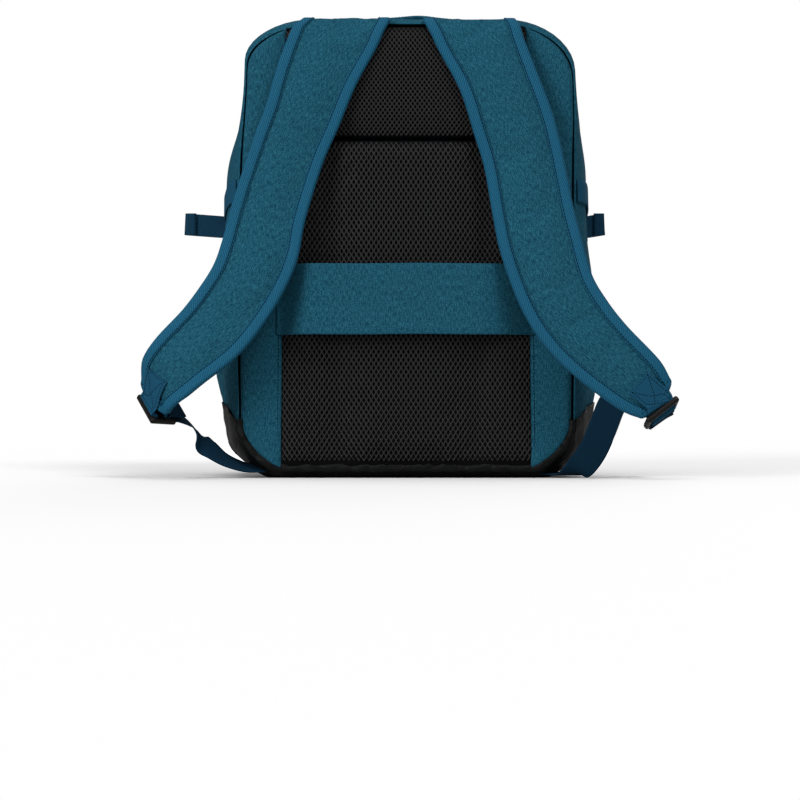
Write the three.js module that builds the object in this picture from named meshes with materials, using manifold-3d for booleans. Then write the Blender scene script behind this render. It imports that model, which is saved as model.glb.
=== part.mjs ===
// A soft cabin backpack of the 40 x 30 x 20 cm class, standing on its base.
// Millimetres, +Z up. The back panel, which lies against the wearer, faces -Y.
// The origin is the middle of the base, on the surface that the bag stands on.
import * as THREE from 'three';
import { mergeVertices } from 'three/addons/utils/BufferGeometryUtils.js';
import Module from 'manifold-3d';

const wasm = await Module();
wasm.setup();

// Driving sizes
const BACK_Y = -95; // face of the back panel
const CLOTH = 2.5; // lined cloth wall
const GAP = 0.3; // clearance between neighbouring pieces
const WEB = 1.5; // webbing thickness
const STRAP_WEB = 25; // webbing width at the shoulder straps
const SIDE_WEB = 20; // webbing width at the side straps
const LOW_CORNER = { across: 35, up: 28 }; // rounding of the bag's bottom corners
const MESH_HALF = 108; // half width of the mesh panel
const MESH_CROWN = 9; // how far the mesh pads stand off the back panel
const MESH_RIM = 0.4; // the pads' height where they are sewn down
const MESH_RISE = { side: 14, low: 22, high: 40 }; // distance over which a pad rises to its crown
const CHANNEL = { middle: 66, reach: 16, depth: 0.5 }; // sewn channels of the lower pad; depth is a share
const GROOVE = { low: 293, high: 297 }; // sewn line between the two mesh pads
const BAND = { low: 124, high: 187, thick: 2 }; // luggage band
const ZIP = { back: 38, front: 45, end: 150 }; // zip strip's depth range and lowest height
const PAD_EDGE = 4; // shoulder pad's thickness under its binding
const BINDING = { wide: 11, thick: 1, slack: 0.6 }; // tape folded round the shoulder pad
const TIP_LENGTH = 6; // rounded end of the shoulder pad past its last section
const LOCK = { wide: 34, bar: 4, slot: 6.5, thick: 5 }; // strap adjuster
const SIDE_LOCK = { wide: 28, bar: 3.5, slot: 6, thick: 4 };

// Table rows as objects with named columns
function rowsOf(names, rows) {
  return rows.map((row) => Object.fromEntries(names.map((name, i) => [name, row[i]])));
}

// Edge of the back panel at each height, and how far the bag swells past it at its fullest depth
const SIDE = rowsOf(['z', 'half', 'swell'], [
  [0, 145, 10],
  [25, 145, 12.5],
  [50, 145, 19],
  [90, 145, 25],
  [179, 145, 21],
  [264, 145, 15],
  [308, 145, 8],
  [340, 143, 6],
  [405, 138, 5],
]);

// Sections of the bag parallel to the back panel, from back to front
const DEPTH = rowsOf(['y', 'swell', 'top', 'bottom', 'corner'], [
  [BACK_Y, 0, 389.5, 9, 35],
  [-85, 0.28, 392, 3, 37],
  [-70, 0.55, 398, 0, 40],
  [-30, 0.9, 404, 0, 45],
  [20, 1, 403, 0, 50],
  [60, 0.85, 396, 0, 52],
  [85, 0.5, 383, 0, 54],
  [95, 0.2, 373, 5, 54],
]);

// The front panel's rounding: how far each ring lies inside the last section
const FRONT = rowsOf(['y', 'inset'], [
  [101, 6],
  [105, 17],
  [107, 60],
]);

// Top edge of the black base: height along the depth of the bag
const BOOT_EDGE = rowsOf(['y', 'z'], [
  [-130, 46],
  [-92, 50],
  [-50, 59],
  [130, 64],
]);

// Half of the luggage band, from its middle to its sewn end: distance off the back panel
const BAND_BOW = rowsOf(['x', 'off'], [
  [0, 26.4],
  [45, 26.3],
  [72, 25.6],
  [84, 23.6],
  [94, 17],
  [102, 9],
  [108, 3],
  [112.5, 1.4],
]);

// Shoulder straps: the middle line, its distance off the back panel, the angle that the run makes with
// straight down, the width, the thickness, and how far the outer edge leans away from the viewer
const STRAP_COLUMNS = ['x', 'off', 'z', 'turn', 'width', 'thick', 'lean'];
const STRAP_ROWS = {
  left: rowsOf(STRAP_COLUMNS, [
    [-51, -7, 395.3, 0, 76, 4, 0],
    [-51.5, 1.5, 396, 0, 76, 4, 0],
    [-54.5, 9.5, 389, 10, 74, 5, 0],
    [-71, 16.5, 361, 23, 70, 9, 0],
    [-85, 18.5, 325, 23, 67, 11, 0],
    [-108, 21, 265, 18, 65, 11, 0],
    [-117.5, 26, 231.5, 15, 65, 11, 3],
    [-125.5, 32, 198.5, 15, 68, 11, 5],
    [-143.5, 40, 155, 28, 66, 11, 8],
    [-160, 44, 134.5, 37, 65, 11, 11],
    [-177, 48, 116.5, 42, 63, 10, 14],
    [-192, 49, 102, 45, 60, 9, 18],
    [-204.5, 46, 86, 52, 56, 7, 22],
    [-210.5, 38, 72, 60, 44, 5, 24],
  ]),
  right: rowsOf(STRAP_COLUMNS, [
    [55, -7, 395.3, 0, 82, 4, 0],
    [55.5, 1.5, 396, 0, 82, 4, 0],
    [58.5, 9.5, 389, 10, 79, 5, 0],
    [74, 16.5, 358, 22, 72, 9, 0],
    [85.5, 18.5, 330, 20, 70, 11, 0],
    [103.5, 21, 266.5, 14, 69, 11, 0],
    [109, 26, 231, 11, 70, 11, 2],
    [115.5, 32, 201, 14, 71, 11, 3],
    [128, 38, 162, 23, 68, 11, 4],
    [144, 42, 134.5, 35, 67, 11, 5],
    [165, 46, 110.5, 44, 63, 10, 6],
    [196, 48, 81, 51, 54, 8, 8],
    [209.5, 46, 69, 53, 40, 5, 10],
  ]),
};

// Run of each adjuster away from the strap end, and how far its first bar lies from the last section
const LOCK_PLACE = {
  left: { run: [0.86, 0.46, -0.2], ahead: 12.5, out: 3.6 },
  right: { run: [0.35, 0.92, -0.2], ahead: 13.8, out: 5.2 },
};

// Lower webbing from its adjuster to the bottom corner: middle line and the direction of its width
const ANCHOR_COLUMNS = ['x', 'y', 'z', 'wx', 'wy', 'wz'];
const ANCHOR_ROWS = {
  left: rowsOf(ANCHOR_COLUMNS, [
    [-187, -101, 51, -0.4, 0.85, 0.3],
    [-176.5, -95, 39.5, -0.1, 0.95, 0.25],
    [-168, -91.5, 28.5, 0.4, 0.5, 0.75],
    [-160.5, -88, 18.5, 0.55, 0.2, 0.8],
    [-156, -84.5, 11.2, 0.6, 0.1, 0.79],
  ]),
  right: rowsOf(ANCHOR_COLUMNS, [
    [222, -103, 52, 0.5, 0, 0.87],
    [206, -99, 58, 0.35, -0.1, 0.93],
    [190, -101, 60, 0.6, -0.2, 0.75],
    [178.5, -102, 52, 0.88, -0.15, 0.3],
    [170, -100, 38, 0.92, 0, -0.2],
    [161, -92, 21, 0.9, 0.1, -0.42],
    [154.7, -81.5, 10.4, 0.85, 0.2, -0.45],
  ]),
};

// Side straps: height and stand-off along the bag's side, from the back seam to the front seam
const SIDE_REAR = rowsOf(['y', 'z', 'stand'], [
  [-91, 253, 1.5],
  [-84, 252, 4.6],
  [-74, 250, 4],
  [-58, 245, 1.6],
  [-36, 239, 1.6],
  [-20, 235, 5],
]);
const SIDE_FRONT = rowsOf(['y', 'z', 'stand'], [
  [80, 216, 1.3],
  [70, 217.5, 1.3],
  [60, 219, 1.4],
  [50, 220.5, 1.3],
  [40, 222, 1.3],
  [24, 224.5, 1.6],
]);
const SIDE_LOCK_AT = { y: -8, z: 230.5, stand: 8.2, slope: -0.2 };
const TAIL = { left: 29.5, right: 11, hem: 9 }; // free tail past its adjuster

// Carrying handle lying low on the top, between its two sewn ends
const HANDLE = { wide: 25, thick: 3, y: -72 };
const HANDLE_ROWS = rowsOf(['x', 'rise'], [
  [-66, 2],
  [-50, 2.1],
  [-30, 2.6],
  [-8, 3.7],
  [10, 4.7],
  [28, 3.5],
  [48, 2.1],
  [66, 2],
]);

// Zip slider's body and the pull that lies along the zip
const SLIDER = { x: 40, long: 12, wide: 9, high: 4 };
const PULL = { x: 48, long: 28, wide: 6, low: 1.2, high: 3 };

// Straight interpolation of one column at a place along another
function valueAt(rows, key, place, column) {
  const after = rows.findIndex((row) => row[key] >= place);
  const next = Math.max(1, after < 0 ? rows.length - 1 : after);
  const [a, b] = [rows[next - 1], rows[next]];
  const share = THREE.MathUtils.clamp((place - a[key]) / (b[key] - a[key]), 0, 1);
  return THREE.MathUtils.lerp(a[column], b[column], share);
}

// Smooth curve through every column of a table, with a number of steps in each span
function smoothRows(rows, steps) {
  const names = Object.keys(rows[0]);
  const fine = [];
  for (let i = 0; i + 1 < rows.length; i++) {
    const span = [Math.max(i - 1, 0), i, i + 1, Math.min(i + 2, rows.length - 1)].map((n) => rows[n]);
    for (let k = 0; k < steps; k++) {
      const t = k / steps;
      const [square, cube] = [t ** 2, t ** 3];
      const outer = [2 * square - t - cube, cube - square];
      const inner = [2 - 5 * square + 3 * cube, t + 4 * square - 3 * cube];
      const blend = [outer[0], ...inner, outer[1]];
      const mixed = (name) => span.reduce((sum, row, n) => sum + 0.5 * blend[n] * row[name], 0);
      fine.push(Object.fromEntries(names.map((name) => [name, mixed(name)])));
    }
  }
  fine.push({ ...rows.at(-1) });
  return fine;
}

// Geometry from points and triangles, turned to face outwards
function solid(points, triangles) {
  let volume = 0;
  for (const [a, b, c] of triangles) {
    volume += points[a].clone().cross(points[b]).dot(points[c]);
  }
  const facing = volume < 0 ? triangles.map(([a, b, c]) => [a, c, b]) : triangles;
  const geometry = new THREE.BufferGeometry().setFromPoints(points);
  geometry.setIndex(facing.flat());
  return geometry;
}

// Solid through rings of equal length; each end is closed by a fan from its middle, or by the
// triangles of a given section where that isn't convex. The second half of a ring is split along the
// other diagonal, so that both faces of a thin strip fold alike where it twists
function loft(rings, section = null) {
  const count = rings[0].length;
  const points = rings.flat();
  const triangles = [];
  for (let i = 0; i + 1 < rings.length; i++) {
    for (let j = 0; j < count; j++) {
      const [a, b] = [i * count + j, i * count + ((j + 1) % count)];
      if (j < count / 2) triangles.push([a, b, b + count], [a, b + count, a + count]);
      else triangles.push([a, b, a + count], [b, b + count, a + count]);
    }
  }
  const last = (rings.length - 1) * count;
  if (section) {
    for (const [a, b, c] of THREE.ShapeUtils.triangulateShape(section, [])) {
      triangles.push([a, c, b], [last + a, last + b, last + c]);
    }
    return solid(points, triangles);
  }
  for (const ring of [rings[0], rings.at(-1)]) {
    points.push(ring.reduce((sum, p) => sum.add(p), vector(0, 0, 0)).divideScalar(count));
  }
  const first = points.length - 2;
  for (let j = 0; j < count; j++) {
    const next = (j + 1) % count;
    triangles.push([first, next, j], [first + 1, last + j, last + next]);
  }
  return solid(points, triangles);
}

// A point reached from an origin by steps along directions
function place(origin, ...steps) {
  return steps.reduce((point, [axis, by]) => point.addScaledVector(axis, by), origin.clone());
}

const flat = (pairs) => pairs.map(([u, v]) => new THREE.Vector2(u, v));
const vector = (x, y, z) => new THREE.Vector3(x, y, z);
const X = vector(1, 0, 0);
const Y = vector(0, 1, 0);
const Z = vector(0, 0, 1);

// Flat webbing along stations that hold a point and the direction of the width
function ribbon(stations, width, thickness) {
  const [w, t] = [width / 2, thickness / 2];
  const corners = [[-w, -t], [w, -t], [w, t], [-w, t]];
  const rings = stations.map(({ at, across }, i) => {
    const before = stations[Math.max(i - 1, 0)].at;
    const after = stations[Math.min(i + 1, stations.length - 1)].at;
    const run = after.clone().sub(before).normalize();
    const wide = across.clone().addScaledVector(run, -across.dot(run)).normalize();
    const face = run.clone().cross(wide);
    return corners.map(([u, v]) => place(at, [wide, u], [face, v]));
  });
  return loft(rings);
}

// Solid block between two corners
function block(low, high) {
  const size = vector(...high).sub(vector(...low));
  const middle = vector(...high).add(vector(...low)).multiplyScalar(0.5);
  return new THREE.BoxGeometry(size.x, size.y, size.z).translate(middle.x, middle.y, middle.z);
}

function toManifold(geometry) {
  const bare = geometry.clone();
  bare.deleteAttribute('normal');
  bare.deleteAttribute('uv');
  const merged = mergeVertices(bare);
  const vertProperties = new Float32Array(merged.attributes.position.array);
  const triVerts = new Uint32Array(merged.index.array);
  return new wasm.Manifold(new wasm.Mesh({ numProp: 3, vertProperties, triVerts }));
}

function fromManifold(manifold) {
  const { vertProperties, triVerts } = manifold.getMesh();
  const geometry = new THREE.BufferGeometry();
  geometry.setAttribute('position', new THREE.BufferAttribute(vertProperties, 3));
  geometry.setIndex(new THREE.BufferAttribute(triVerts, 1));
  return geometry;
}

function cut(body, ...tools) {
  return fromManifold(tools.reduce((rest, tool) => rest.subtract(toManifold(tool)), toManifold(body)));
}

const common = (body, tool) => fromManifold(toManifold(body).intersect(toManifold(tool)));

// Half width of the bag at a depth and height, before its corners are rounded
function halfWidth(y, z) {
  return valueAt(SIDE, 'z', z, 'half') + valueAt(DEPTH, 'y', y, 'swell') * valueAt(SIDE, 'z', z, 'swell');
}

const topAt = (y) => valueAt(DEPTH, 'y', y, 'top');

// Closed outline of one section, set in from the outside, as a ring at a chosen depth
function outline(y, inset, depth) {
  const top = topAt(y) - inset;
  const bottom = valueAt(DEPTH, 'y', y, 'bottom') + inset;
  const corner = Math.max(valueAt(DEPTH, 'y', y, 'corner') - inset, 8);
  const low = { across: Math.max(LOW_CORNER.across - inset, 8), up: Math.max(LOW_CORNER.up - inset, 8) };
  const edge = (z, less) => [halfWidth(y, z) - inset - less, z];
  const cornerSteps = [0, 0.2, 0.4, 0.6, 0.8, 1];
  const half = [[0, bottom]];
  for (const share of cornerSteps) {
    const angle = (share * Math.PI) / 2;
    half.push(edge(bottom + low.up * (1 - Math.cos(angle)), low.across * (1 - Math.sin(angle))));
  }
  const sideSteps = 9;
  for (let i = 1; i < sideSteps; i++) {
    half.push(edge(THREE.MathUtils.lerp(bottom + low.up, top - corner, i / sideSteps), 0));
  }
  for (const share of cornerSteps) {
    const angle = (share * Math.PI) / 2;
    half.push(edge(top - corner * (1 - Math.sin(angle)), corner * (1 - Math.cos(angle))));
  }
  half.push([0, top]);
  const other = half.slice(1, -1).reverse().map(([x, z]) => [-x, z]);
  return [...half, ...other].map(([x, z]) => vector(x, depth, z));
}

// Bag body: one hollow wall, open towards the back panel
function bagWall() {
  const rim = BACK_Y + CLOTH + GAP;
  const depths = [rim, ...DEPTH.slice(1).map((row) => row.y)];
  const front = DEPTH.at(-1).y;
  const outer = depths.map((y) => outline(y, 0, y));
  const inner = depths.map((y) => outline(y, CLOTH, y === front ? y - CLOTH / 2 : y));
  for (const { y, inset } of FRONT) {
    outer.push(outline(front, inset, y));
    inner.push(outline(front, inset + CLOTH, y - CLOTH));
  }
  return loft([...inner.reverse(), ...outer]);
}

// Everything below the base's top edge, as one wide block
function belowBoot(shift) {
  const reach = 400;
  const edge = BOOT_EDGE.map(({ y, z }) => [y, z + shift]);
  const section = [[edge[0][0], -50], [edge.at(-1)[0], -50], ...edge.reverse()];
  const rings = [-reach, reach].map((x) => section.map(([y, z]) => vector(x, y, z)));
  return loft(rings, flat(section));
}

// The back panel's outline as a plate between two depths
function panelPlate(back, front) {
  const rings = [back, front].map((y) => outline(BACK_Y, 0, y));
  return loft(rings);
}

// Height of a mesh pad above the back panel: crowned, with two sewn channels in the lower pad
function padHeight(x, z, low, high, channels) {
  const rise = (distance, length) => Math.sin((Math.min(distance / length, 1) * Math.PI) / 2);
  const sides = rise(MESH_HALF - Math.abs(x), MESH_RISE.side);
  const ends = rise(z - low, MESH_RISE.low) * rise(high - z, MESH_RISE.high);
  const away = Math.abs(Math.abs(x) - CHANNEL.middle) / CHANNEL.reach;
  const sunk = channels && away < 1 ? CHANNEL.depth * Math.cos((away * Math.PI) / 2) : 0;
  return MESH_RIM + (MESH_CROWN - MESH_RIM) * sides * ends * (1 - sunk);
}

function meshPad(low, high, channels) {
  const half = [MESH_HALF, 104, 98, 92, 82, 74, CHANNEL.middle, 58, 50, 25];
  const xs = [...half.map((x) => -x), 0, ...half.toReversed()];
  const rims = [0, 6, 14, 28];
  const thirds = [(low * 2 + high) / 3, (low + high * 2) / 3];
  const heights = [...rims.map((d) => low + d), ...thirds, ...rims.toReversed().map((d) => high - d)];
  const back = BACK_Y + CLOTH - GAP;
  const rings = heights.map((z) => {
    const crown = xs.map((x) => vector(x, BACK_Y - padHeight(x, z, low, high, channels), z));
    return [...crown, vector(MESH_HALF, back, z), vector(-MESH_HALF, back, z)];
  });
  return common(loft(rings), panelPlate(BACK_Y - 2 * MESH_CROWN, BACK_Y + CLOTH));
}

function luggageBand() {
  const half = BAND_BOW.slice(1);
  const rows = [...half.toReversed().map(({ x, off }) => ({ x: -x, off })), ...BAND_BOW];
  const middle = (BAND.low + BAND.high) / 2;
  const stations = rows.map(({ x, off }) => ({ at: vector(x, BACK_Y - off, middle), across: Z }));
  return ribbon(stations, BAND.high - BAND.low, BAND.thick);
}

// Sections of a shoulder strap: point, run, width direction, facing direction, width and thickness
function strapSections(side) {
  const sign = side === 'left' ? -1 : 1;
  const rows = smoothRows(STRAP_ROWS[side], 2);
  const cutSections = 4; // the level cut at the top, before the sections stand square to the run
  const points = rows.map(({ x, off, z }) => vector(x, BACK_Y - off, z));
  const sections = rows.map(({ turn, width, thick, lean }, i) => {
    const [before, after] = [points[Math.max(i - 1, 0)], points[Math.min(i + 1, points.length - 1)]];
    const run = after.clone().sub(before).normalize();
    const angle = THREE.MathUtils.degToRad(turn);
    const level = vector(sign * Math.cos(angle), 0, Math.sin(angle));
    const square = THREE.MathUtils.clamp((i - cutSections) / 2, 0, 1);
    level.addScaledVector(run, -square * level.dot(run)).normalize();
    const facing = run.clone().cross(level).normalize().multiplyScalar(sign);
    const tilt = THREE.MathUtils.degToRad(lean);
    const across = level.clone().multiplyScalar(Math.cos(tilt)).addScaledVector(facing, -Math.sin(tilt));
    const face = facing.clone().multiplyScalar(Math.cos(tilt)).addScaledVector(level, Math.sin(tilt));
    return { at: points[i], run, across, face, width, thick };
  });
  const end = sections.at(-1);
  const tip = [0.5, 0.87, 1].map((ahead, i) => ({
    ...end,
    at: place(end.at, [end.run, TIP_LENGTH * ahead]),
    width: end.width * [0.9, 0.66, 0.42][i],
    thick: PAD_EDGE,
  }));
  return { sections: [...sections, ...tip], end };
}

// Padded strap: full in the middle, thin under the binding at both edges
function shoulderPad({ sections }) {
  const rings = sections.map(({ at, across, face, width, thick }) => {
    const half = width / 2 - BINDING.thick - BINDING.slack;
    const bound = Math.max(half - BINDING.wide, 0.25 * half);
    const rise = [[0, 1], [0.6 * bound, 0.85], [bound, 0], [half, 0]];
    const crown = [...rise.slice(1).toReversed().map(([u, full]) => [-u, full]), ...rise];
    const top = crown.map(([u, full]) => [u, PAD_EDGE / 2 + (full * (thick - PAD_EDGE)) / 2]);
    const under = top.toReversed().map(([u, v]) => [u, -v]);
    return [...top, ...under].map(([u, v]) => place(at, [across, u], [face, v]));
  });
  return loft(rings);
}

// Tape folded round the pad's edge, down one side, round the tip and up the other
function strapBinding({ sections }) {
  const along = (sign) => sections.map((s) => ({
    edge: place(s.at, [s.across, (sign * s.width) / 2]),
    outward: s.across.clone().multiplyScalar(sign),
    face: s.face,
    wide: Math.min(BINDING.wide - GAP, 0.22 * s.width),
  }));
  const end = sections.at(-1);
  const corner = (sign) => ({
    edge: place(end.at, [end.across, (sign * end.width) / 2], [end.run, BINDING.thick]),
    outward: place(end.run, [end.across, sign]).normalize(),
    face: end.face,
    wide: 0.2 * end.width,
  });
  const nose = {
    edge: place(end.at, [end.run, BINDING.thick + 2 * GAP]),
    outward: end.run,
    face: end.face,
    wide: 0.2 * end.width,
  };
  const path = [...along(-1), corner(-1), nose, corner(1), ...along(1).toReversed()];
  const inner = PAD_EDGE / 2 + BINDING.slack;
  const outer = inner + BINDING.thick;
  const profile = (wide) => [
    [-wide, inner], [-BINDING.thick, inner], [-BINDING.thick, -inner], [-wide, -inner],
    [-wide, -outer], [0, -outer], [0, outer], [-wide, outer],
  ];
  const rings = path.map(({ edge, outward, face, wide }) => {
    return profile(wide).map(([u, v]) => place(edge, [outward, u], [face, v]));
  });
  return loft(rings, flat(profile(BINDING.wide)));
}

// Frame of a strap adjuster: width, run along the bars, and facing direction, at its first bar
function lockFrame(side, end) {
  const { run, ahead, out } = LOCK_PLACE[side];
  const wide = end.across;
  const along = vector(...run);
  along.addScaledVector(wide, -along.dot(wide)).normalize();
  const face = wide.clone().cross(along);
  if (face.dot(end.run) < 0) face.negate();
  return { at: place(end.at, [end.run, ahead], [end.face, out]), wide, along, face };
}

// Flat adjuster with three bars and two slots, lying along +Y of its own frame
function lockPlate(size) {
  const { wide, bar, slot, thick } = size;
  const length = 3 * bar + 2 * slot;
  const round = bar * 0.8;
  const shape = new THREE.Shape();
  const [left, right, low, high] = [-wide / 2, wide / 2, -bar / 2, length - bar / 2];
  shape.moveTo(left + round, low).lineTo(right - round, low);
  shape.quadraticCurveTo(right, low, right, low + round).lineTo(right, high - round);
  shape.quadraticCurveTo(right, high, right - round, high).lineTo(left + round, high);
  shape.quadraticCurveTo(left, high, left, high - round).lineTo(left, low + round);
  shape.quadraticCurveTo(left, low, left + round, low);
  const inside = wide / 2 - bar + 0.2;
  for (const start of [bar / 2, bar * 1.5 + slot]) {
    const hole = [[-inside, start], [-inside, start + slot], [inside, start + slot], [inside, start]];
    shape.holes.push(new THREE.Path(flat(hole)));
  }
  const plain = { depth: thick, bevelEnabled: false, curveSegments: 3 };
  return new THREE.ExtrudeGeometry(shape, plain).translate(0, 0, -thick / 2);
}

// Webbing turning round one corner of a bar, from over its face (out) to beside it (along)
function roundCorner(middle, size, along, out) {
  const side = size.bar / 2 + GAP + WEB / 2 + 0.05;
  const over = size.thick / 2 + GAP + WEB / 2 + 0.15;
  const points = [[side - 1.7, over], [side - 0.5, over - 0.35], [side, over - 1.5]];
  return points.map(([u, v]) => [middle + along * u, out * v]);
}

const lockPoint = (lock) => ([along, out]) => place(lock.at, [lock.along, along], [lock.face, out]);

// Webbing sewn on the strap end: down past the first bar, round the second bar and back under the strap
function strapPatch({ sections, end }, lock) {
  const clear = LOCK.thick / 2 + GAP + WEB / 2;
  const second = LOCK.bar + LOCK.slot;
  const last = sections.indexOf(end);
  const onStrap = (section, sign) => {
    const bound = PAD_EDGE + 2 * (BINDING.slack + BINDING.thick);
    const lift = Math.max(section.thick, bound) / 2 + 2 * GAP + WEB / 2 + 0.1;
    return { at: place(section.at, [section.face, sign * lift]), across: section.across };
  };
  const front = [-3, -2, -1, 0, 2].map((n) => onStrap(sections[last + n], 1));
  const back = [1, 0, -1].map((n) => onStrap(sections[last + n], -1));
  const bars = [
    [-1.5, -clear], [3, -clear], [5.2, -2.2],
    ...roundCorner(second, LOCK, -1, 1).toReversed(), ...roundCorner(second, LOCK, 1, 1),
    [second + 3.1, -3], [second + 2, -5.2], [second - 1, -6.5],
  ];
  const onLock = bars.map((pair) => ({ at: lockPoint(lock)(pair), across: lock.wide }));
  return ribbon([...front, ...onLock, ...back], STRAP_WEB, WEB);
}

// Lower webbing: hooked round the last bar of its adjuster, then down to the bottom corner of the bag
function anchorWebbing(side, lock) {
  const third = 2 * (LOCK.bar + LOCK.slot);
  const turn = [...roundCorner(third, LOCK, -1, -1), ...roundCorner(third, LOCK, -1, 1).toReversed()];
  const hook = [[third + 12, -4.4], [third + 2, -4], ...turn, [third + 2, 3.7], [third + 8, 2.5]];
  const start = hook.map((pair) => ({ at: lockPoint(lock)(pair), across: lock.wide }));
  const rows = smoothRows(ANCHOR_ROWS[side], 2);
  const rest = rows.map(({ x, y, z, wx, wy, wz }) => ({ at: vector(x, y, z), across: vector(wx, wy, wz) }));
  return ribbon([...start, ...rest], STRAP_WEB, WEB);
}

// A point that stands off the side of the bag, with the direction up that side
function sideStation(sign, { y, z, stand }) {
  const at = vector(sign * (halfWidth(y, z) + stand), y, z);
  const reach = SIDE_WEB / 2;
  const lean = halfWidth(y, z + reach) - halfWidth(y, z - reach);
  return { at, across: vector(sign * lean, 0, SIDE_WEB).normalize() };
}

// Adjuster lying along the bag's side: across is its width, and its face looks outwards
function sideLockFrame(sign) {
  const { slope } = SIDE_LOCK_AT;
  const { at } = sideStation(sign, SIDE_LOCK_AT);
  const along = vector(0, 1, slope).normalize();
  const wide = vector(0, -slope, 1).normalize();
  return { at, wide, along, face: X.clone().multiplyScalar(sign) };
}

// Rear half of a side strap: from the back seam to the first bar of its adjuster, and round it
function sideStrap(sign, lock) {
  const stations = smoothRows(SIDE_REAR, 2).map((row) => sideStation(sign, row));
  const turn = [...roundCorner(0, SIDE_LOCK, 1, -1), ...roundCorner(0, SIDE_LOCK, 1, 1).toReversed()];
  const hook = [[-1.8, -3.3], ...turn, [-2, 3.3], [-9, 2.6]];
  const turned = hook.map((pair) => ({ at: lockPoint(lock)(pair), across: lock.wide }));
  return ribbon([...stations, ...turned], SIDE_WEB, WEB);
}

// Front half of a side strap: from the front seam through the adjuster, ending in a free hemmed tail
function sideTail(sign, lock, length) {
  const clear = SIDE_LOCK.thick / 2 + GAP + WEB / 2;
  const slotMiddle = 1.5 * (SIDE_LOCK.bar + SIDE_LOCK.slot) + 0.6;
  const stations = SIDE_FRONT.map((row) => sideStation(sign, row));
  const rise = [[5, -clear - 1], [1, -clear + 0.8], [0, 1.5], [0, 3]].map(([u, v]) => [slotMiddle + u, v]);
  stations.push(...rise.map((pair) => ({ at: lockPoint(lock)(pair), across: lock.wide })));
  const root = stations.at(-1).at;
  for (const share of [0.2, 0.5, 1]) {
    stations.push({ at: place(root, [X, sign * length * share]), across: Z });
  }
  const strip = ribbon(stations, SIDE_WEB, WEB);
  const tip = stations.at(-1).at;
  const hem = block(
    [Math.min(tip.x, tip.x - sign * TAIL.hem), tip.y - WEB / 2 - WEB, tip.z - SIDE_WEB / 2],
    [Math.max(tip.x, tip.x - sign * TAIL.hem), tip.y, tip.z + SIDE_WEB / 2],
  );
  return fromManifold(toManifold(strip).add(toManifold(hem)));
}

function grabHandle() {
  const rows = smoothRows(HANDLE_ROWS, 2);
  const seat = topAt(HANDLE.y + HANDLE.wide / 2);
  const stations = rows.map(({ x, rise }) => ({ at: vector(x, HANDLE.y, seat + rise), across: Y }));
  return ribbon(stations, HANDLE.wide, HANDLE.thick);
}

// Zip slider: a small body over the teeth with its pull lying along the zip, on top of the bag
function zipSlider() {
  const middle = (ZIP.back + ZIP.front) / 2;
  const seat = topAt(ZIP.back - 1) + GAP;
  const body = block(
    [SLIDER.x, middle - SLIDER.wide / 2, seat],
    [SLIDER.x + SLIDER.long, middle + SLIDER.wide / 2, seat + SLIDER.high],
  );
  const pull = block(
    [PULL.x, middle - PULL.wide / 2, seat + PULL.low],
    [PULL.x + PULL.long, middle + PULL.wide / 2, seat + PULL.high],
  );
  return fromManifold(toManifold(body).add(toManifold(pull)));
}

const cloth = { roughness: 0.9, metalness: 0 };
const teal = new THREE.MeshStandardMaterial({ color: 0x205a70, ...cloth });
const blackCloth = new THREE.MeshStandardMaterial({ color: 0x1c1d1d, ...cloth });
const mesh = new THREE.MeshStandardMaterial({ color: 0x202020, ...cloth });
const twill = new THREE.MeshStandardMaterial({ color: 0x235c78, ...cloth });
const webbing = new THREE.MeshStandardMaterial({ color: 0x1a3d52, ...cloth });
const plastic = new THREE.MeshStandardMaterial({ color: 0x1a1817, roughness: 0.45, metalness: 0 });

const group = new THREE.Group();

function addPiece(name, geometry, material) {
  const piece = new THREE.Mesh(geometry, material);
  piece.name = name;
  group.add(piece);
  return piece;
}

// Stands an adjuster in its frame
function addLock(name, size, frame) {
  const piece = addPiece(name, lockPlate(size), plastic);
  const { at, along, face } = frame;
  const turned = new THREE.Matrix4().makeBasis(along.clone().cross(face), along, face);
  piece.quaternion.setFromRotationMatrix(turned);
  piece.position.copy(at);
}

const wall = bagWall();
const far = 400;
const zipBand = (clear) =>
  block([-far, ZIP.back + clear, ZIP.end + clear], [far, ZIP.front - clear, 2 * far]);
addPiece('bag_shell', cut(wall, belowBoot(GAP / 2), zipBand(0)), teal);
addPiece('base_boot', common(wall, belowBoot(-GAP / 2)), blackCloth);
addPiece('zip_chain', common(wall, zipBand(GAP)), blackCloth);
addPiece('zip_slider', zipSlider(), plastic);

const plate = panelPlate(BACK_Y, BACK_Y + CLOTH);
const stripEdge = MESH_HALF + GAP;
addPiece('back_strip_left', common(plate, block([-far, -far, -far], [-stripEdge, far, far * 2])), teal);
addPiece('back_strip_right', common(plate, block([stripEdge, -far, -far], [far, far, far * 2])), teal);
addPiece('back_mesh_upper', meshPad(GROOVE.high, DEPTH[0].top, false), mesh);
addPiece('back_mesh_lower', meshPad(DEPTH[0].bottom, GROOVE.low, true), mesh);
addPiece('luggage_band', luggageBand(), teal);
addPiece('grab_handle', grabHandle(), teal);

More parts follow.
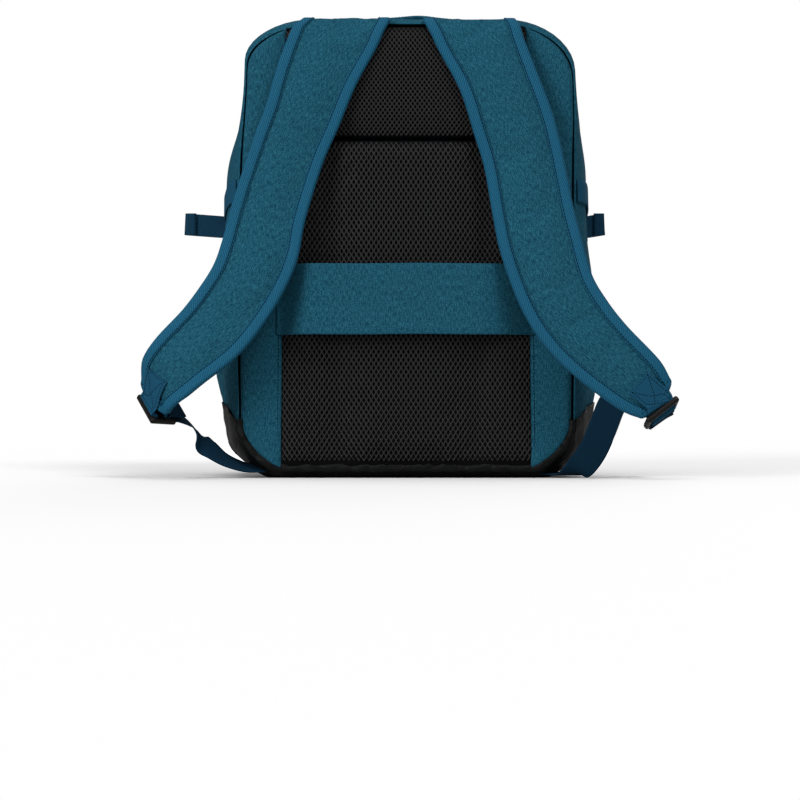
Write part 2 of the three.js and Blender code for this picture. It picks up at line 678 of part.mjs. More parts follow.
for (const [side, sign] of [['left', -1], ['right', 1]]) {
  const strap = strapSections(side);
  const lock = lockFrame(side, strap.end);
  const sideLock = sideLockFrame(sign);
  addPiece(`shoulder_pad_${side}`, shoulderPad(strap), teal);
  addPiece(`shoulder_binding_${side}`, strapBinding(strap), twill);
  addPiece(`strap_patch_${side}`, strapPatch(strap, lock), webbing);
  addLock(`ladder_lock_${side}`, LOCK, lock);
  addPiece(`anchor_webbing_${side}`, anchorWebbing(side, lock), webbing);
  addPiece(`side_strap_${side}`, sideStrap(sign, sideLock), webbing);
  addLock(`side_lock_${side}`, SIDE_LOCK, sideLock);
  addPiece(`side_tail_${side}`, sideTail(sign, sideLock, TAIL[side]), webbing);
}

export default group;
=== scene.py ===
import math

import bmesh
import bpy
import numpy as np
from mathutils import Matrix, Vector, noise
from mathutils.bvhtree import BVHTree


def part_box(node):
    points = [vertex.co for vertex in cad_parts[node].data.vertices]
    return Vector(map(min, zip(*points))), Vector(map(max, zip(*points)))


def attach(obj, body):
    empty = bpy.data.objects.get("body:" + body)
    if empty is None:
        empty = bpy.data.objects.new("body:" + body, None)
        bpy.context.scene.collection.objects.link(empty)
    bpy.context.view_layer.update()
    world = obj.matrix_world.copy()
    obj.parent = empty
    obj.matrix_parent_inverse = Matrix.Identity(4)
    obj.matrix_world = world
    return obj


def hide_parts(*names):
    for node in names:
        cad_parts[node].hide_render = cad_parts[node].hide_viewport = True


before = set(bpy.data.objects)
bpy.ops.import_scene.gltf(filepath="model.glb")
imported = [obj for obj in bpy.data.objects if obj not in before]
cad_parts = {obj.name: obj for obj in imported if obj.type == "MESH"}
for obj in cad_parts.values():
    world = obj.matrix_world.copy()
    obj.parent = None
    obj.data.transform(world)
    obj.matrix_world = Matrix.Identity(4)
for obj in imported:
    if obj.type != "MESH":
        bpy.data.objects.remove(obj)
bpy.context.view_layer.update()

scene = bpy.context.scene
scene.view_settings.view_transform = "Standard"

# Studio: a level camera straight in front of the back panel, a plain pale floor, and soft light from
# large panels, strongest from the upper left. Nothing here belongs to the bag.
CAMERA_AT = (-0.0052, -2.295, 0.0679)
CAMERA_RANGE = 2.2  # from the camera to the back panel
VIEW_WIDTH = 0.696  # what the view takes in at that range
SENSOR = 36.0
FLOOR_SIZE = 3.6
BACKDROP = "#FFFFFF"
FLOOR = "#C9C9C8"
LIGHT_ROWS = (  # place, width, power in watts
    ((-1.8, -2.2, 0.9), 1.3, 56.0),
    ((1.0, -1.9, 2.3), 0.9, 33.0),
    ((1.9, -2.4, 1.1), 1.4, 3.0),
    ((0.0, 0.0, 3.4), 3.2, 46.0),
    ((0.8, 2.6, 1.3), 1.6, 16.0),
)
LIGHT_AIM = (0.0, 0.0, 0.2)
AMBIENT = 0.2


def linear(colour):
    """An sRGB hex colour as the linear RGBA that shaders take."""
    parts = [int(colour[i:i + 2], 16) / 255 for i in (1, 3, 5)]
    return [p / 12.92 if p <= 0.04045 else ((p + 0.055) / 1.055) ** 2.4 for p in parts] + [1.0]


def add(tree, kind, links=None, **settings):
    """Adds a node with its settings; links holds a value or another node's socket for each input."""
    node = tree.nodes.new(kind)
    for name, value in settings.items():
        setattr(node, name, value)
    for name, value in (links or {}).items():
        if isinstance(value, bpy.types.NodeSocket):
            tree.links.new(value, node.inputs[name])
        else:
            node.inputs[name].default_value = value
    return node


def new_material(name):
    """An empty node material: the material and its tree."""
    material = bpy.data.materials.new(name)
    material.use_nodes = True
    material.node_tree.nodes.clear()
    return material, material.node_tree


def surface(tree, links):
    """Ends a material in one Principled shader."""
    shader = add(tree, "ShaderNodeBsdfPrincipled", links)
    add(tree, "ShaderNodeOutputMaterial", {"Surface": shader.outputs["BSDF"]})


camera = bpy.data.objects.new("camera", bpy.data.cameras.new("camera"))
camera.data.sensor_width = SENSOR
camera.data.lens = SENSOR * CAMERA_RANGE / VIEW_WIDTH
camera.location = CAMERA_AT
camera.rotation_euler = (math.pi / 2, 0, 0)
scene.collection.objects.link(camera)
scene.camera = camera

# The backdrop is white to the eye and lights the bag by a fifth of what it shows
scene.world = bpy.data.worlds.new("studio")
scene.world.use_nodes = True
sky = scene.world.node_tree
sky.nodes.clear()
seen = add(sky, "ShaderNodeBackground", {"Color": linear(BACKDROP), "Strength": 1.0})
lit = add(sky, "ShaderNodeBackground", {"Color": linear(BACKDROP), "Strength": AMBIENT})
path = add(sky, "ShaderNodeLightPath")
both = add(sky, "ShaderNodeMixShader",
           {0: path.outputs["Is Camera Ray"], 1: lit.outputs[0], 2: seen.outputs[0]})
add(sky, "ShaderNodeOutputWorld", {"Surface": both.outputs[0]})

for i, (place, width, power) in enumerate(LIGHT_ROWS):
    panel = bpy.data.objects.new(f"light_{i}", bpy.data.lights.new(f"light_{i}", "AREA"))
    panel.data.size = width
    panel.data.energy = power
    panel.location = place
    towards = Vector(LIGHT_AIM) - Vector(place)
    panel.rotation_euler = towards.to_track_quat("-Z", "Y").to_euler()
    scene.collection.objects.link(panel)

floor_paint, tree = new_material("pale_floor_paint")
surface(tree, {"Base Color": linear(FLOOR), "Roughness": 0.9, "Specular IOR Level": 0.1})
floor_mesh = bpy.data.meshes.new("floor")
reach = FLOOR_SIZE / 2
floor_corners = [(-reach, -reach, 0), (reach, -reach, 0), (reach, reach, 0), (-reach, reach, 0)]
floor_mesh.from_pydata(floor_corners, [], [(0, 1, 2, 3)])
floor_mesh.materials.append(floor_paint)
floor = bpy.data.objects.new("floor", floor_mesh)
floor.is_shadow_catcher = True  # the floor shows as the white backdrop with the bag's shadow on it
scene.collection.objects.link(floor)

# Bag body: lined polyester melange sewn into one soft box, with a gusset that swells past the back panel
# and a front panel set in along a seam. The skin is worked out once here, in millimetres, as rings from
# the back seam to the front, and then parted into body, base and zip.
BACK_Y = -95.0
CLOTH = 1.0
SIDE = {"z": [0, 25, 50, 72, 88, 110, 179, 237, 264, 285, 308, 340, 405],
        "half": [145, 145, 145, 145, 145, 145, 145, 145, 145, 145, 145, 144, 142],
        "swell": [10.5, 18.7, 24.4, 26.4, 30.8, 30.5, 28, 25, 22, 18.5, 12, 7, 5],
        "skew": [1.5, 2.3, 2.6, 2.6, 1.2, 0, 0, 0, 0, 0, 0, 0, 0],
        "shift": [0, 0, 0, 0, 0, 0, 0, 0.4, 0.8, 1.2, 2.6, 3.4, 3]}
# In DEPTH, across and up add to the high corners, and low scales the low ones
DEPTH = {"y": [-95, -85, -70, -30, 20, 60, 85, 95],
         "swell": [0, 0.28, 0.55, 0.9, 1, 0.85, 0.5, 0.2],
         "top": [394.5, 402, 403.4, 404.6, 403, 396, 383, 373],
         "bottom": [9, 3, 0, 0, 0, 0, 0, 5],
         "across": [5, 1.5, 0, 1, 2, 4, 4, 4],
         "up": [5, 2, 4, 10, 16, 18, 20, 20],
         "low": [1, 0.95, 0.88, 0.82, 0.8, 0.8, 0.8, 0.8]}
HIGH_CORNER = {"left": (62.0, 33.5), "right": (60.0, 42.5)}  # across and up
LOW_CORNER = (35.0, 36.0)
LOW_CUT = 1.3  # 1 is a round corner, 2 a straight one
RIM = ((-84, 3.4), (-89, 3.0), (-91.6, 2.4), (-92.7, 1.6), (-92.6, 0.8), (-91.6, 0.25), (-89.6, 0.0),
       (-87, 0.0))  # y and inset where the gusset folds into the back seam
FRONT = ((99, 2.5), (102, 7), (102.3, 9), (101.6, 10), (102.9, 11.2), (104.4, 15), (105.8, 24), (106.8, 40),
         (107.3, 60), (107.6, 84), (107.7, 108), (107.7, 128))  # y and inset, with the front seam's groove
BOOT_EDGE = {"y": [-130, -92, -60, -20, 130], "z": [46, 50, 62, 66, 68]}
ZIP = {"back": 38.0, "front": 45.0, "end": 150.0}
# Where the side strap pulls the bag in
DENT = {"y": -4.0, "z": 225.0, "deep": 12.5, "long": 30.0, "high": 29.0}
TUCK = 5.0  # how far the teal cloth goes down inside the base
BASE_COUNT, CORNER_COUNT, SIDE_COUNT, ROOF_COUNT = 15, 11, 44, 17  # points of half a ring
LEAST_CORNER = 8.0
SIDE_EASE = 18.0


def eased(table, key, column, place, reach):
    """A column's value at a place, averaged over a reach so that no row shows as a crease."""
    offsets = np.linspace(-1, 1, 9)
    weights = 1 + np.cos(np.pi * offsets)
    reads = [w * np.interp(np.asarray(place) + o * reach, table[key], table[column])
             for o, w in zip(offsets, weights)]
    return sum(reads) / weights.sum()


def side_at(column, z):
    """A column of SIDE at a height."""
    return eased(SIDE, "z", column, z, SIDE_EASE)


def half_width(y, z, side):
    """Half the bag's width at a depth and height."""
    share = eased(DEPTH, "y", "swell", y, 14)
    lean = side_at("skew", z)
    swell = side_at("swell", z) + (lean if side == "right" else -lean)
    away = ((y - DENT["y"]) / DENT["long"]) ** 2 + ((np.asarray(z) - DENT["z"]) / DENT["high"]) ** 2
    return side_at("half", z) + share * swell - DENT["deep"] * np.exp(-away)


def half_outline(y, inset, side):
    """One half of a ring, from the middle of the base to the middle of the top, as x and z."""
    top = eased(DEPTH, "y", "top", y, 12) - inset
    bottom = eased(DEPTH, "y", "bottom", y, 3) + inset
    high_across, high_up = (max(size + np.interp(y, DEPTH["y"], DEPTH[column]) - inset, LEAST_CORNER)
                            for size, column in zip(HIGH_CORNER[side], ("across", "up")))
    low = np.interp(y, DEPTH["y"], DEPTH["low"])
    across, up = (max(low * size - inset, LEAST_CORNER) for size in LOW_CORNER)
    turn = np.linspace(0, np.pi / 2, CORNER_COUNT)
    low_z = bottom + up * (1 - np.clip(np.cos(turn), 0, 1) ** LOW_CUT)
    low_x = half_width(y, low_z, side) - inset - across * (1 - np.sin(turn) ** LOW_CUT)
    side_z = np.linspace(bottom + up, top - high_up, SIDE_COUNT + 2)[1:-1]
    high_z = top - high_up * (1 - np.sin(turn))
    high_x = half_width(y, high_z, side) - inset - high_across * (1 - np.cos(turn))
    base_x = np.linspace(0, low_x[0], BASE_COUNT + 1)[:-1]
    roof_x = np.linspace(high_x[-1], 0, ROOF_COUNT + 1)[1:]
    x = np.concatenate([base_x, low_x, half_width(y, side_z, side) - inset, high_x, roof_x])
    z = np.concatenate([np.full(len(base_x), bottom), low_z, side_z, high_z, np.full(len(roof_x), top)])
    return x, z


def outline(y, inset=0.0):
    """One ring round the bag at a depth, from the middle of the base up the right side, as x and z."""
    right_x, right_z = half_outline(y, inset, "right")
    left_x, left_z = half_outline(y, inset, "left")
    x = np.concatenate([right_x, -left_x[-2:0:-1]])
    z = np.concatenate([right_z, left_z[-2:0:-1]])
    return x + side_at("shift", z), z


def loft_faces(count, rings, closed=True):
    """Quads between rings of equal count."""
    faces = []
    for i in range(rings - 1):
        for j in range(count if closed else count - 1):
            a, b = i * count + j, i * count + (j + 1) % count
            faces.append((a, b, b + count, a + count))
    return faces


def new_mesh(name, points, faces):
    """A mesh from points in millimetres, with its faces turned outwards and smooth."""
    mesh = bpy.data.meshes.new(name)
    mesh.from_pydata((np.asarray(points) * 0.001).tolist(), [], faces)
    build = bmesh.new()
    build.from_mesh(mesh)
    bmesh.ops.recalc_face_normals(build, faces=build.faces)
    build.to_mesh(mesh)
    build.free()
    mesh.polygons.foreach_set("use_smooth", [True] * len(mesh.polygons))
    return mesh


def coordinates(mesh):
    """The mesh's points in metres as an array."""
    points = np.zeros(len(mesh.vertices) * 3)
    mesh.vertices.foreach_get("co", points)
    return points.reshape(-1, 3)


def normals(mesh):
    """The direction that each point faces."""
    faced = np.zeros(len(mesh.vertices) * 3)
    mesh.vertex_normals.foreach_get("vector", faced)
    return faced.reshape(-1, 3)


def ripple(points, size, seed):
    """Smooth random values from -1 to 1 at points in millimetres, for folds of a given size."""
    shift = Vector((seed * 17.3, seed * 5.1, seed * 9.7))
    scale = 1.0 / np.asarray(size, float)
    return np.array([noise.noise(Vector(p) + shift) for p in np.asarray(points) * scale])


def hollows(points):
    """How far the cloth's broad hollows and folds go in at points in millimetres, as negative values."""
    return 1.6 * (ripple(points, (90, 70, 110), 1) - 1) + 0.8 * (ripple(points, (38, 30, 60), 2) - 1)


def box_uv(mesh):
    """Cloth coordinates in metres, taken flat along the axis that each face looks along."""
    layer = mesh.uv_layers.new(name="cloth")
    points = coordinates(mesh)
    for face in mesh.polygons:
        axis = max(range(3), key=lambda k: abs(face.normal[k]))
        first, second = ((1, 2), (0, 2), (0, 1))[axis]
        for corner, vertex in zip(face.loop_indices, face.vertices):
            layer.data[corner].uv = (points[vertex][first], points[vertex][second])


def show(name, mesh, material, slot, *nodes):
    """Puts a finished piece on the bag, in place of its CAD nodes."""
    if material:
        mesh.materials.append(material)
    piece = bpy.data.objects.new(name, mesh)
    scene.collection.objects.link(piece)
    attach(piece, "root")
    if nodes:
        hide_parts(*nodes)
    return piece


# Teal polyester melange, woven from dark and light yarns: matte, with fine vertical streaks and flecks.
# The yarns are about 0.4 mm; they are drawn twice as wide so that the flecks show in the render.
TEAL_DARK, TEAL, TEAL_LIGHT = "#0E3546", "#18495B", "#296074"
YARN = 0.0008
SLUB = 0.0045  # length of a streak
ONE_BAND = 0.314  # a wave texture's scale for one band in each unit


def cloth_height(tree, uv, pitch):
    """Height of a plain weave of a pitch in metres, from 0 to 1."""
    waves = []
    for axis in ("X", "Y"):
        scaled = add(tree, "ShaderNodeMapping", {"Vector": uv, "Scale": (1 / pitch,) * 3})
        wave = add(tree, "ShaderNodeTexWave", {"Vector": scaled.outputs[0], "Scale": ONE_BAND},
                   bands_direction=axis)
        waves.append(wave.outputs["Fac"])
    return add(tree, "ShaderNodeMath", {0: waves[0], 1: waves[1]}, operation="MAXIMUM")


def melange(name, dark, middle, light):
    """Heathered cloth whose yarns run along its cloth coordinates."""
    material, tree = new_material(name)
    uv = add(tree, "ShaderNodeUVMap", uv_map="cloth").outputs[0]
    reads = []
    streaks = (((1 / YARN, 1 / SLUB, 1), 0.4), ((1.6 / SLUB, 1 / YARN, 1), 0.24),
               ((0.9 / YARN,) * 3, 0.36))  # how the pattern is scaled, and its share
    for scale, share in streaks:
        mapped = add(tree, "ShaderNodeMapping", {"Vector": uv, "Scale": scale})
        fleck = add(tree, "ShaderNodeTexNoise", {"Vector": mapped.outputs[0], "Scale": 1.0, "Detail": 1.0})
        part = add(tree, "ShaderNodeMath", {0: fleck.outputs["Fac"], 1: share}, operation="MULTIPLY")
        reads.append(part.outputs[0])
    two = add(tree, "ShaderNodeMath", {0: reads[0], 1: reads[1]})
    yarns = add(tree, "ShaderNodeMath", {0: two.outputs[0], 1: reads[2]})
    ramp = add(tree, "ShaderNodeValToRGB", {"Fac": yarns.outputs[0]})
    stops = ramp.color_ramp.elements
    stops[0].position, stops[1].position = 0.39, 0.61
    stops[0].color, stops[1].color = linear(dark), linear(light)
    stops.new(0.5).color = linear(middle)
    weave = cloth_height(tree, uv, YARN)
    height = add(tree, "ShaderNodeMath", {0: weave.outputs[0], 1: yarns.outputs[0]})
    bump = add(tree, "ShaderNodeBump", {"Strength": 0.35, "Distance": 0.0003, "Height": height.outputs[0]})
    surface(tree, {"Base Color": ramp.outputs["Color"], "Roughness": 0.88, "Normal": bump.outputs["Normal"],
                   "Specular IOR Level": 0.04})
    return material


teal = melange("polyester_melange_teal", TEAL_DARK, TEAL, TEAL_LIGHT)

# Skin rings, then soft hollows pressed inwards so that the cloth never stands proud of its pattern
ring_places = [*RIM, *((y, 0.0) for y in np.linspace(-84, 95, 46)), *FRONT]
skin_points = []
for y, inset in ring_places:
    x, z = outline(min(y, DEPTH["y"][-1]), inset)
    skin_points.append(np.column_stack([x, np.full(len(x), y), z]))
ring_count = len(skin_points[0])
skin_faces = loft_faces(ring_count, len(skin_points))
skin_points = np.concatenate(skin_points)
last = len(skin_points) - ring_count
skin_faces.append(tuple(range(last, last + ring_count)))
skin = new_mesh("skin", skin_points, skin_faces)
creases = ripple(skin_points, (14, 22, 16), 3)
inner = np.clip((skin_points[:, 1] - BACK_Y) / 40, 0, 1)  # none at the back seam
off_base = np.clip(skin_points[:, 2] / 12, 0, 1)  # none where the bag stands
hollow = hollows(skin_points) + 0.25 * creases
skin_points += normals(skin) * (hollow * inner * off_base)[:, None]
skin.vertices.foreach_set("co", (skin_points * 0.001).ravel())
skin_tree = BVHTree.FromPolygons((skin_points * 0.001).tolist(), [f.vertices[:] for f in skin.polygons])


def cast(start, towards):
    """Where a line from a point outside meets the skin, in millimetres, and the way the cloth faces there."""
    place, faced, *_ = skin_tree.ray_cast(Vector(start) * 0.001, Vector(towards))
    return np.array(place) * 1000, np.array(faced)


def boot_edge(y):
    """Height of the base's top edge along the depth of the bag, in millimetres."""
    return eased(BOOT_EDGE, "y", "z", y, 20)


def smooth_mesh(name, build):
    """A mesh from a finished bmesh, with smooth faces."""
    mesh = bpy.data.meshes.new(name)
    build.to_mesh(mesh)
    build.free()
    mesh.polygons.foreach_set("use_smooth", [True] * len(mesh.polygons))
    return mesh


def part_of_skin(name, source, planes, keep, sheared=0.0):
    """The skin cut along planes, with the faces that keep picks; sheared levels the base's edge first."""
    build = bmesh.new()
    build.from_mesh(source)
    for v in build.verts:
        v.co *= 1000
        v.co.z -= sheared * float(boot_edge(v.co.y))
    for at, facing in planes:
        everything = [*build.verts, *build.edges, *build.faces]
        bmesh.ops.bisect_plane(build, geom=everything, plane_co=at, plane_no=facing, dist=1e-4)
    loose = [f for f in build.faces if not keep(f.calc_center_median())]
    bmesh.ops.delete(build, geom=loose, context="FACES")
    for v in build.verts:
        v.co.z += sheared * float(boot_edge(v.co.y))
        v.co *= 0.001
    return smooth_mesh(name, build)


def wall(piece, thickness):
    """Gives a skin its thickness, inwards."""
    solid = piece.modifiers.new("thickness", "SOLIDIFY")
    solid.thickness = thickness * 0.001
    solid.offset = -1


zip_planes = [((0, ZIP["back"], 0), (0, 1, 0)), ((0, ZIP["front"], 0), (0, 1, 0)),
              ((0, 0, ZIP["end"]), (0, 0, 1))]


def in_zip(p):
    """Whether a point of the skin lies in the zip's slot."""
    return ZIP["back"] < p.y < ZIP["front"] and p.z > ZIP["end"]


# The teal cloth goes on down inside the base, a little way in from the skin
above = part_of_skin("above", skin, [((0, 0, -TUCK), (0, 0, 1))], lambda p: p.z > -TUCK, 1.0)
above_points = coordinates(above)
depth_y = above_points[:, 1] * 1000
covered = np.clip((boot_edge(depth_y) + 1.0 - above_points[:, 2] * 1000) / 3, 0, 1)
above_points -= normals(above) * (covered * np.interp(depth_y, (-86, -76), (0.5, 3.0)) * 0.001)[:, None]
above.vertices.foreach_set("co", above_points.ravel())
body_mesh = part_of_skin("bag_body", above, zip_planes, lambda p: not in_zip(p))
tape_mesh = part_of_skin("zip_tape", above, zip_planes, in_zip)
box_uv(body_mesh)
body = show("bag_body", body_mesh, teal, "teal_cloth", "bag_shell")
wall(body, CLOTH)


# Stitches: a row of short thread lengths laid along a path. The tree takes a path whose points know which
# way the cloth faces, spaces one rounded stitch after another along it, and turns each to lie flat.
def geometry_tree(name, inputs, output):
    """A tree with named inputs: the tree, the inputs' identifiers for a modifier, and their sockets."""
    tree = bpy.data.node_groups.new(name, "GeometryNodeTree")
    keys = {}
    for label, kind in inputs.items():
        socket = tree.interface.new_socket(name=label, in_out="INPUT", socket_type=f"NodeSocket{kind}")
        keys[label] = socket.identifier
    tree.interface.new_socket(name=output, in_out="OUTPUT", socket_type="NodeSocketGeometry")
    return tree, keys, add(tree, "NodeGroupInput").outputs


row_sizes = {"Path": "Geometry", "Pitch": "Float", "Size": "Vector", "Thread": "Material"}
row_tree, row_inputs, given = geometry_tree("row_of_stitches", row_sizes, "Stitches")
line = add(row_tree, "GeometryNodeMeshToCurve", {"Mesh": given["Path"]})
spaced = add(row_tree, "GeometryNodeResampleCurve", {"Curve": line.outputs[0], "Length": given["Pitch"]},
             mode="LENGTH")
along = add(row_tree, "GeometryNodeInputTangent")
facing = add(row_tree, "GeometryNodeInputNamedAttribute", {"Name": "facing"}, data_type="FLOAT_VECTOR")
turned = add(row_tree, "FunctionNodeAlignRotationToVector", {"Vector": along.outputs[0]}, axis="Z")
laid = add(row_tree, "FunctionNodeAlignRotationToVector",
           {"Rotation": turned.outputs[0], "Vector": facing.outputs["Attribute"]}, axis="Y", pivot_axis="Z")
bead = add(row_tree, "GeometryNodeMeshUVSphere", {"Segments": 6, "Rings": 4, "Radius": 0.5})
set_out = add(row_tree, "GeometryNodeInstanceOnPoints",
              {"Points": spaced.outputs[0], "Instance": bead.outputs["Mesh"], "Rotation": laid.outputs[0],
               "Scale": given["Size"]})
real = add(row_tree, "GeometryNodeRealizeInstances", {"Geometry": set_out.outputs[0]})
smooth = add(row_tree, "GeometryNodeSetShadeSmooth", {"Geometry": real.outputs[0]})
threaded = add(row_tree, "GeometryNodeSetMaterial",
               {"Geometry": smooth.outputs[0], "Material": given["Thread"]})
add(row_tree, "NodeGroupOutput", {"Stitches": threaded.outputs[0]})

STITCH_PITCH = 3.0
STITCH = (0.9, 0.6, 2.5)  # width, height and length


def plain_mesh(piece):
    """Turns what a piece's modifiers make into its own plain mesh."""
    made = bpy.data.meshes.new_from_object(piece.evaluated_get(bpy.context.evaluated_depsgraph_get()))
    piece.modifiers.clear()
    piece.data = made


def sew(name, paths, thread, pitch=STITCH_PITCH, size=STITCH):
    """Rows of stitches along paths, each the points in millimetres and the way the cloth faces there."""
    points = np.concatenate([np.asarray(p) for p, _ in paths])
    faced = np.concatenate([np.asarray(f) for _, f in paths])
    edges = []
    start = 0
    for p, _ in paths:
        edges += [(start + i, start + i + 1) for i in range(len(p) - 1)]
        start += len(p)
    mesh = bpy.data.meshes.new(name)
    mesh.from_pydata((points * 0.001).tolist(), edges, [])
    mesh.attributes.new("facing", "FLOAT_VECTOR", "POINT").data.foreach_set("vector", faced.ravel())
    piece = bpy.data.objects.new(name, mesh)
    scene.collection.objects.link(piece)
    rows = piece.modifiers.new("rows", "NODES")
    rows.node_group = row_tree
    rows[row_inputs["Pitch"]] = pitch * 0.001
    rows[row_inputs["Size"]] = [s * 0.001 for s in size]
    rows[row_inputs["Thread"]] = thread
    plain_mesh(piece)
    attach(piece, "root")


def thread_material(name, colour):
    """Bonded polyester sewing thread: dyed darker than the cloth, dull, with a twist along it; the binding's
    near-black thread is darker still, as painted shade along the tape's edge.
    """
    material, tree = new_material(name)
    place = add(tree, "ShaderNodeTexCoord").outputs["Object"]
    twist = add(tree, "ShaderNodeTexNoise", {"Vector": place, "Scale": 1 / 0.0008, "Detail": 1.0})
    bump = add(tree, "ShaderNodeBump", {"Strength": 0.3, "Distance": 0.0002, "Height": twist.outputs["Fac"]})
    surface(tree, {"Base Color": linear(colour), "Roughness": 0.85, "Normal": bump.outputs["Normal"],
                   "Specular IOR Level": 0.03})
    return material


teal_thread = thread_material("polyester_thread_teal", "#041A26")

# Front seam: the front panel's edge is turned in along a shallow groove, with one row of top stitching just
# inside it, in a thread darker than the cloth.
FRONT_STITCH = 14.0
x, z = outline(DEPTH["y"][-1], FRONT_STITCH)
front_row = np.column_stack([x, np.full(len(x), FRONT[-1][0] + 10), z])[z > boot_edge(FRONT[-1][0]) + 4]
sew("front_seam_stitches", [tuple(zip(*(cast(p, (0, -1, 0)) for p in front_row)))], teal_thread)

# Base: black coated polyester turned up round the bottom of the bag and sewn over the teal cloth, with its
# seam to the back panel rolled under a narrow lip that wrinkles along the lower edge.
LIP_ROUND = (2.0, 3.4)  # half sizes of the rolled lip, into the bag and across the panel
LIP_Y = -95.2
LIP_INSET, LIP_HIGH = 1.2, 52.0
BOOT_WRINKLE = 1.3


def two_tone(tree, share, dark, light, full=1.0):
    """A colour from dark to light by a share, all light where the share is full."""
    tone = add(tree, "ShaderNodeValToRGB", {"Fac": share})
    low, high = tone.color_ramp.elements
    low.color, high.color = linear(dark), linear(light)
    high.position = full
    return tone.outputs["Color"]


def coated_material():
    """Polyester with a polyurethane coating: near black, satin, creased, with painted shade in the creases'
    hollows and painted highlight on their tops, and a fine weave under the coat.
    """
    material, tree = new_material("coated_polyester_black")
    place = add(tree, "ShaderNodeTexCoord").outputs["Object"]
    creases = add(tree, "ShaderNodeTexNoise",
                  {"Vector": place, "Scale": 1 / 0.016, "Detail": 3.0, "Distortion": 0.6})
    weave = add(tree, "ShaderNodeTexNoise", {"Vector": place, "Scale": 1 / 0.0011, "Detail": 1.0})
    # The tone follows the creases' height: painted shade in their hollows and painted highlight on their
    # tops.
    tone = two_tone(tree, creases.outputs["Fac"], "#050606", "#0C0D0D")
    bump = add(tree, "ShaderNodeBump", {"Strength": 0.9, "Distance": 0.004, "Height": creases.outputs["Fac"]})
    fine = add(tree, "ShaderNodeBump", {"Strength": 0.25, "Distance": 0.0003, "Height": weave.outputs["Fac"],
                                        "Normal": bump.outputs["Normal"]})
    surface(tree, {"Base Color": tone, "Roughness": 0.55, "Normal": fine.outputs["Normal"],
                   "Specular IOR Level": 0.12})
    return material


black_cloth = coated_material()
boot_mesh = part_of_skin("base_boot", skin, [((0, 0, 0), (0, 0, 1))], lambda p: p.z < 0, 1.0)
boot_points = coordinates(boot_mesh)
upright = np.clip((boot_points[:, 2] - 0.004) / 0.02, 0, 1)
wrinkles = ripple(boot_points * 1000, (11, 26, 15), 21)
wrinkles = wrinkles + 0.5 * ripple(boot_points * 1000, (6, 16, 7), 22) + 0.4
wrinkles = np.maximum(wrinkles, np.interp(boot_points[:, 1] * 1000, (-86, -76), (0.15, -0.4)))
boot_points += normals(boot_mesh) * (BOOT_WRINKLE * 0.001 * wrinkles * upright)[:, None]
boot_mesh.vertices.foreach_set("co", boot_points.ravel())
box_uv(boot_mesh)
boot = show("boot_cloth", boot_mesh, black_cloth, "black_cloth", "base_boot")
wall(boot, CLOTH)


def unit(vectors):
    """The same directions with a length of one."""
    return vectors / np.linalg.norm(vectors, axis=-1, keepdims=True)


def walked(path):
    """The distance along a path at each of its points."""
    return np.concatenate([[0], np.cumsum(np.linalg.norm(np.diff(path, axis=0), axis=1))])


def capped(name, rings):
    """A mesh through rings of equal count, closed at both ends."""
    count = len(rings[0])
    last = (len(rings) - 1) * count
    ends = [tuple(range(count)), tuple(range(last, last + count))]
    return new_mesh(name, np.concatenate(rings), loft_faces(count, len(rings)) + ends)


x, z = outline(BACK_Y, LIP_INSET)
low = np.flatnonzero(z < LIP_HIGH)
half_ring = ring_count // 2
lip_x = np.concatenate([x[low[low > half_ring]], x[low[low <= half_ring]]])
lip_z = np.concatenate([z[low[low > half_ring]], z[low[low <= half_ring]]])
lip_path = np.column_stack([lip_x, np.full(len(lip_x), LIP_Y), lip_z])
walk = walked(lip_path)
steps = np.linspace(0, 1, 240) * walk[-1]
lip_path = np.column_stack([np.interp(steps, walk, lip_path[:, k]) for k in range(3)])
inwards = np.array((0.0, 1.0, 0.0))
beside = unit(np.cross(unit(np.gradient(lip_path, axis=0)), inwards))
turn = np.linspace(0, 2 * np.pi, 14, endpoint=False)[:, None]
lip_points = np.concatenate([place + LIP_ROUND[0] * np.cos(turn) * inwards + LIP_ROUND[1] * np.sin(turn) * b
                             for place, b in zip(lip_path, beside)])
lip_points[:, 2] += 1.5 * ripple(lip_points, (13, 40, 13), 5) - 0.8
lip_points[:, 1] += 1.3 * ripple(lip_points, (9, 40, 7), 6)
lip_points[:, 2] = np.maximum(lip_points[:, 2], 0.6)
show("base_lip", capped("base_lip", lip_points.reshape(len(lip_path), -1, 3)), black_cloth, "black_cloth")

# Main zip: black woven tape let into the gusset over the top and down both sides, with a nylon coil of
# interlocked teeth and a lacquered slider whose pull lies along the tape. The photo's view hides it.
ZIP_PITCH = 1.6
TOOTH = (4.6, 1.7, 1.15)  # across the tape, height and length along it
TAPE_SINK, TAPE_THICK = 0.7, 1.2
SLIDER = {"x": 40.0, "lift": 2.0, "thick": 4.0}
PULL = {"x": 48.0, "lift": 4.9, "thick": 1.4}
tape_points = coordinates(tape_mesh)
tape_points -= normals(tape_mesh) * TAPE_SINK * 0.001
tape_mesh.vertices.foreach_set("co", tape_points.ravel())
box_uv(tape_mesh)


def tape_material():
    """Woven polyester tape: dull black with ribs across it."""
    material, tree = new_material("woven_tape_black")
    uv = add(tree, "ShaderNodeUVMap", uv_map="cloth").outputs[0]
    weave = cloth_height(tree, uv, 0.0009)
    bump = add(tree, "ShaderNodeBump", {"Strength": 0.5, "Distance": 0.0003, "Height": weave.outputs[0]})
    surface(tree, {"Base Color": linear("#141516"), "Roughness": 0.85, "Normal": bump.outputs["Normal"]})
    return material


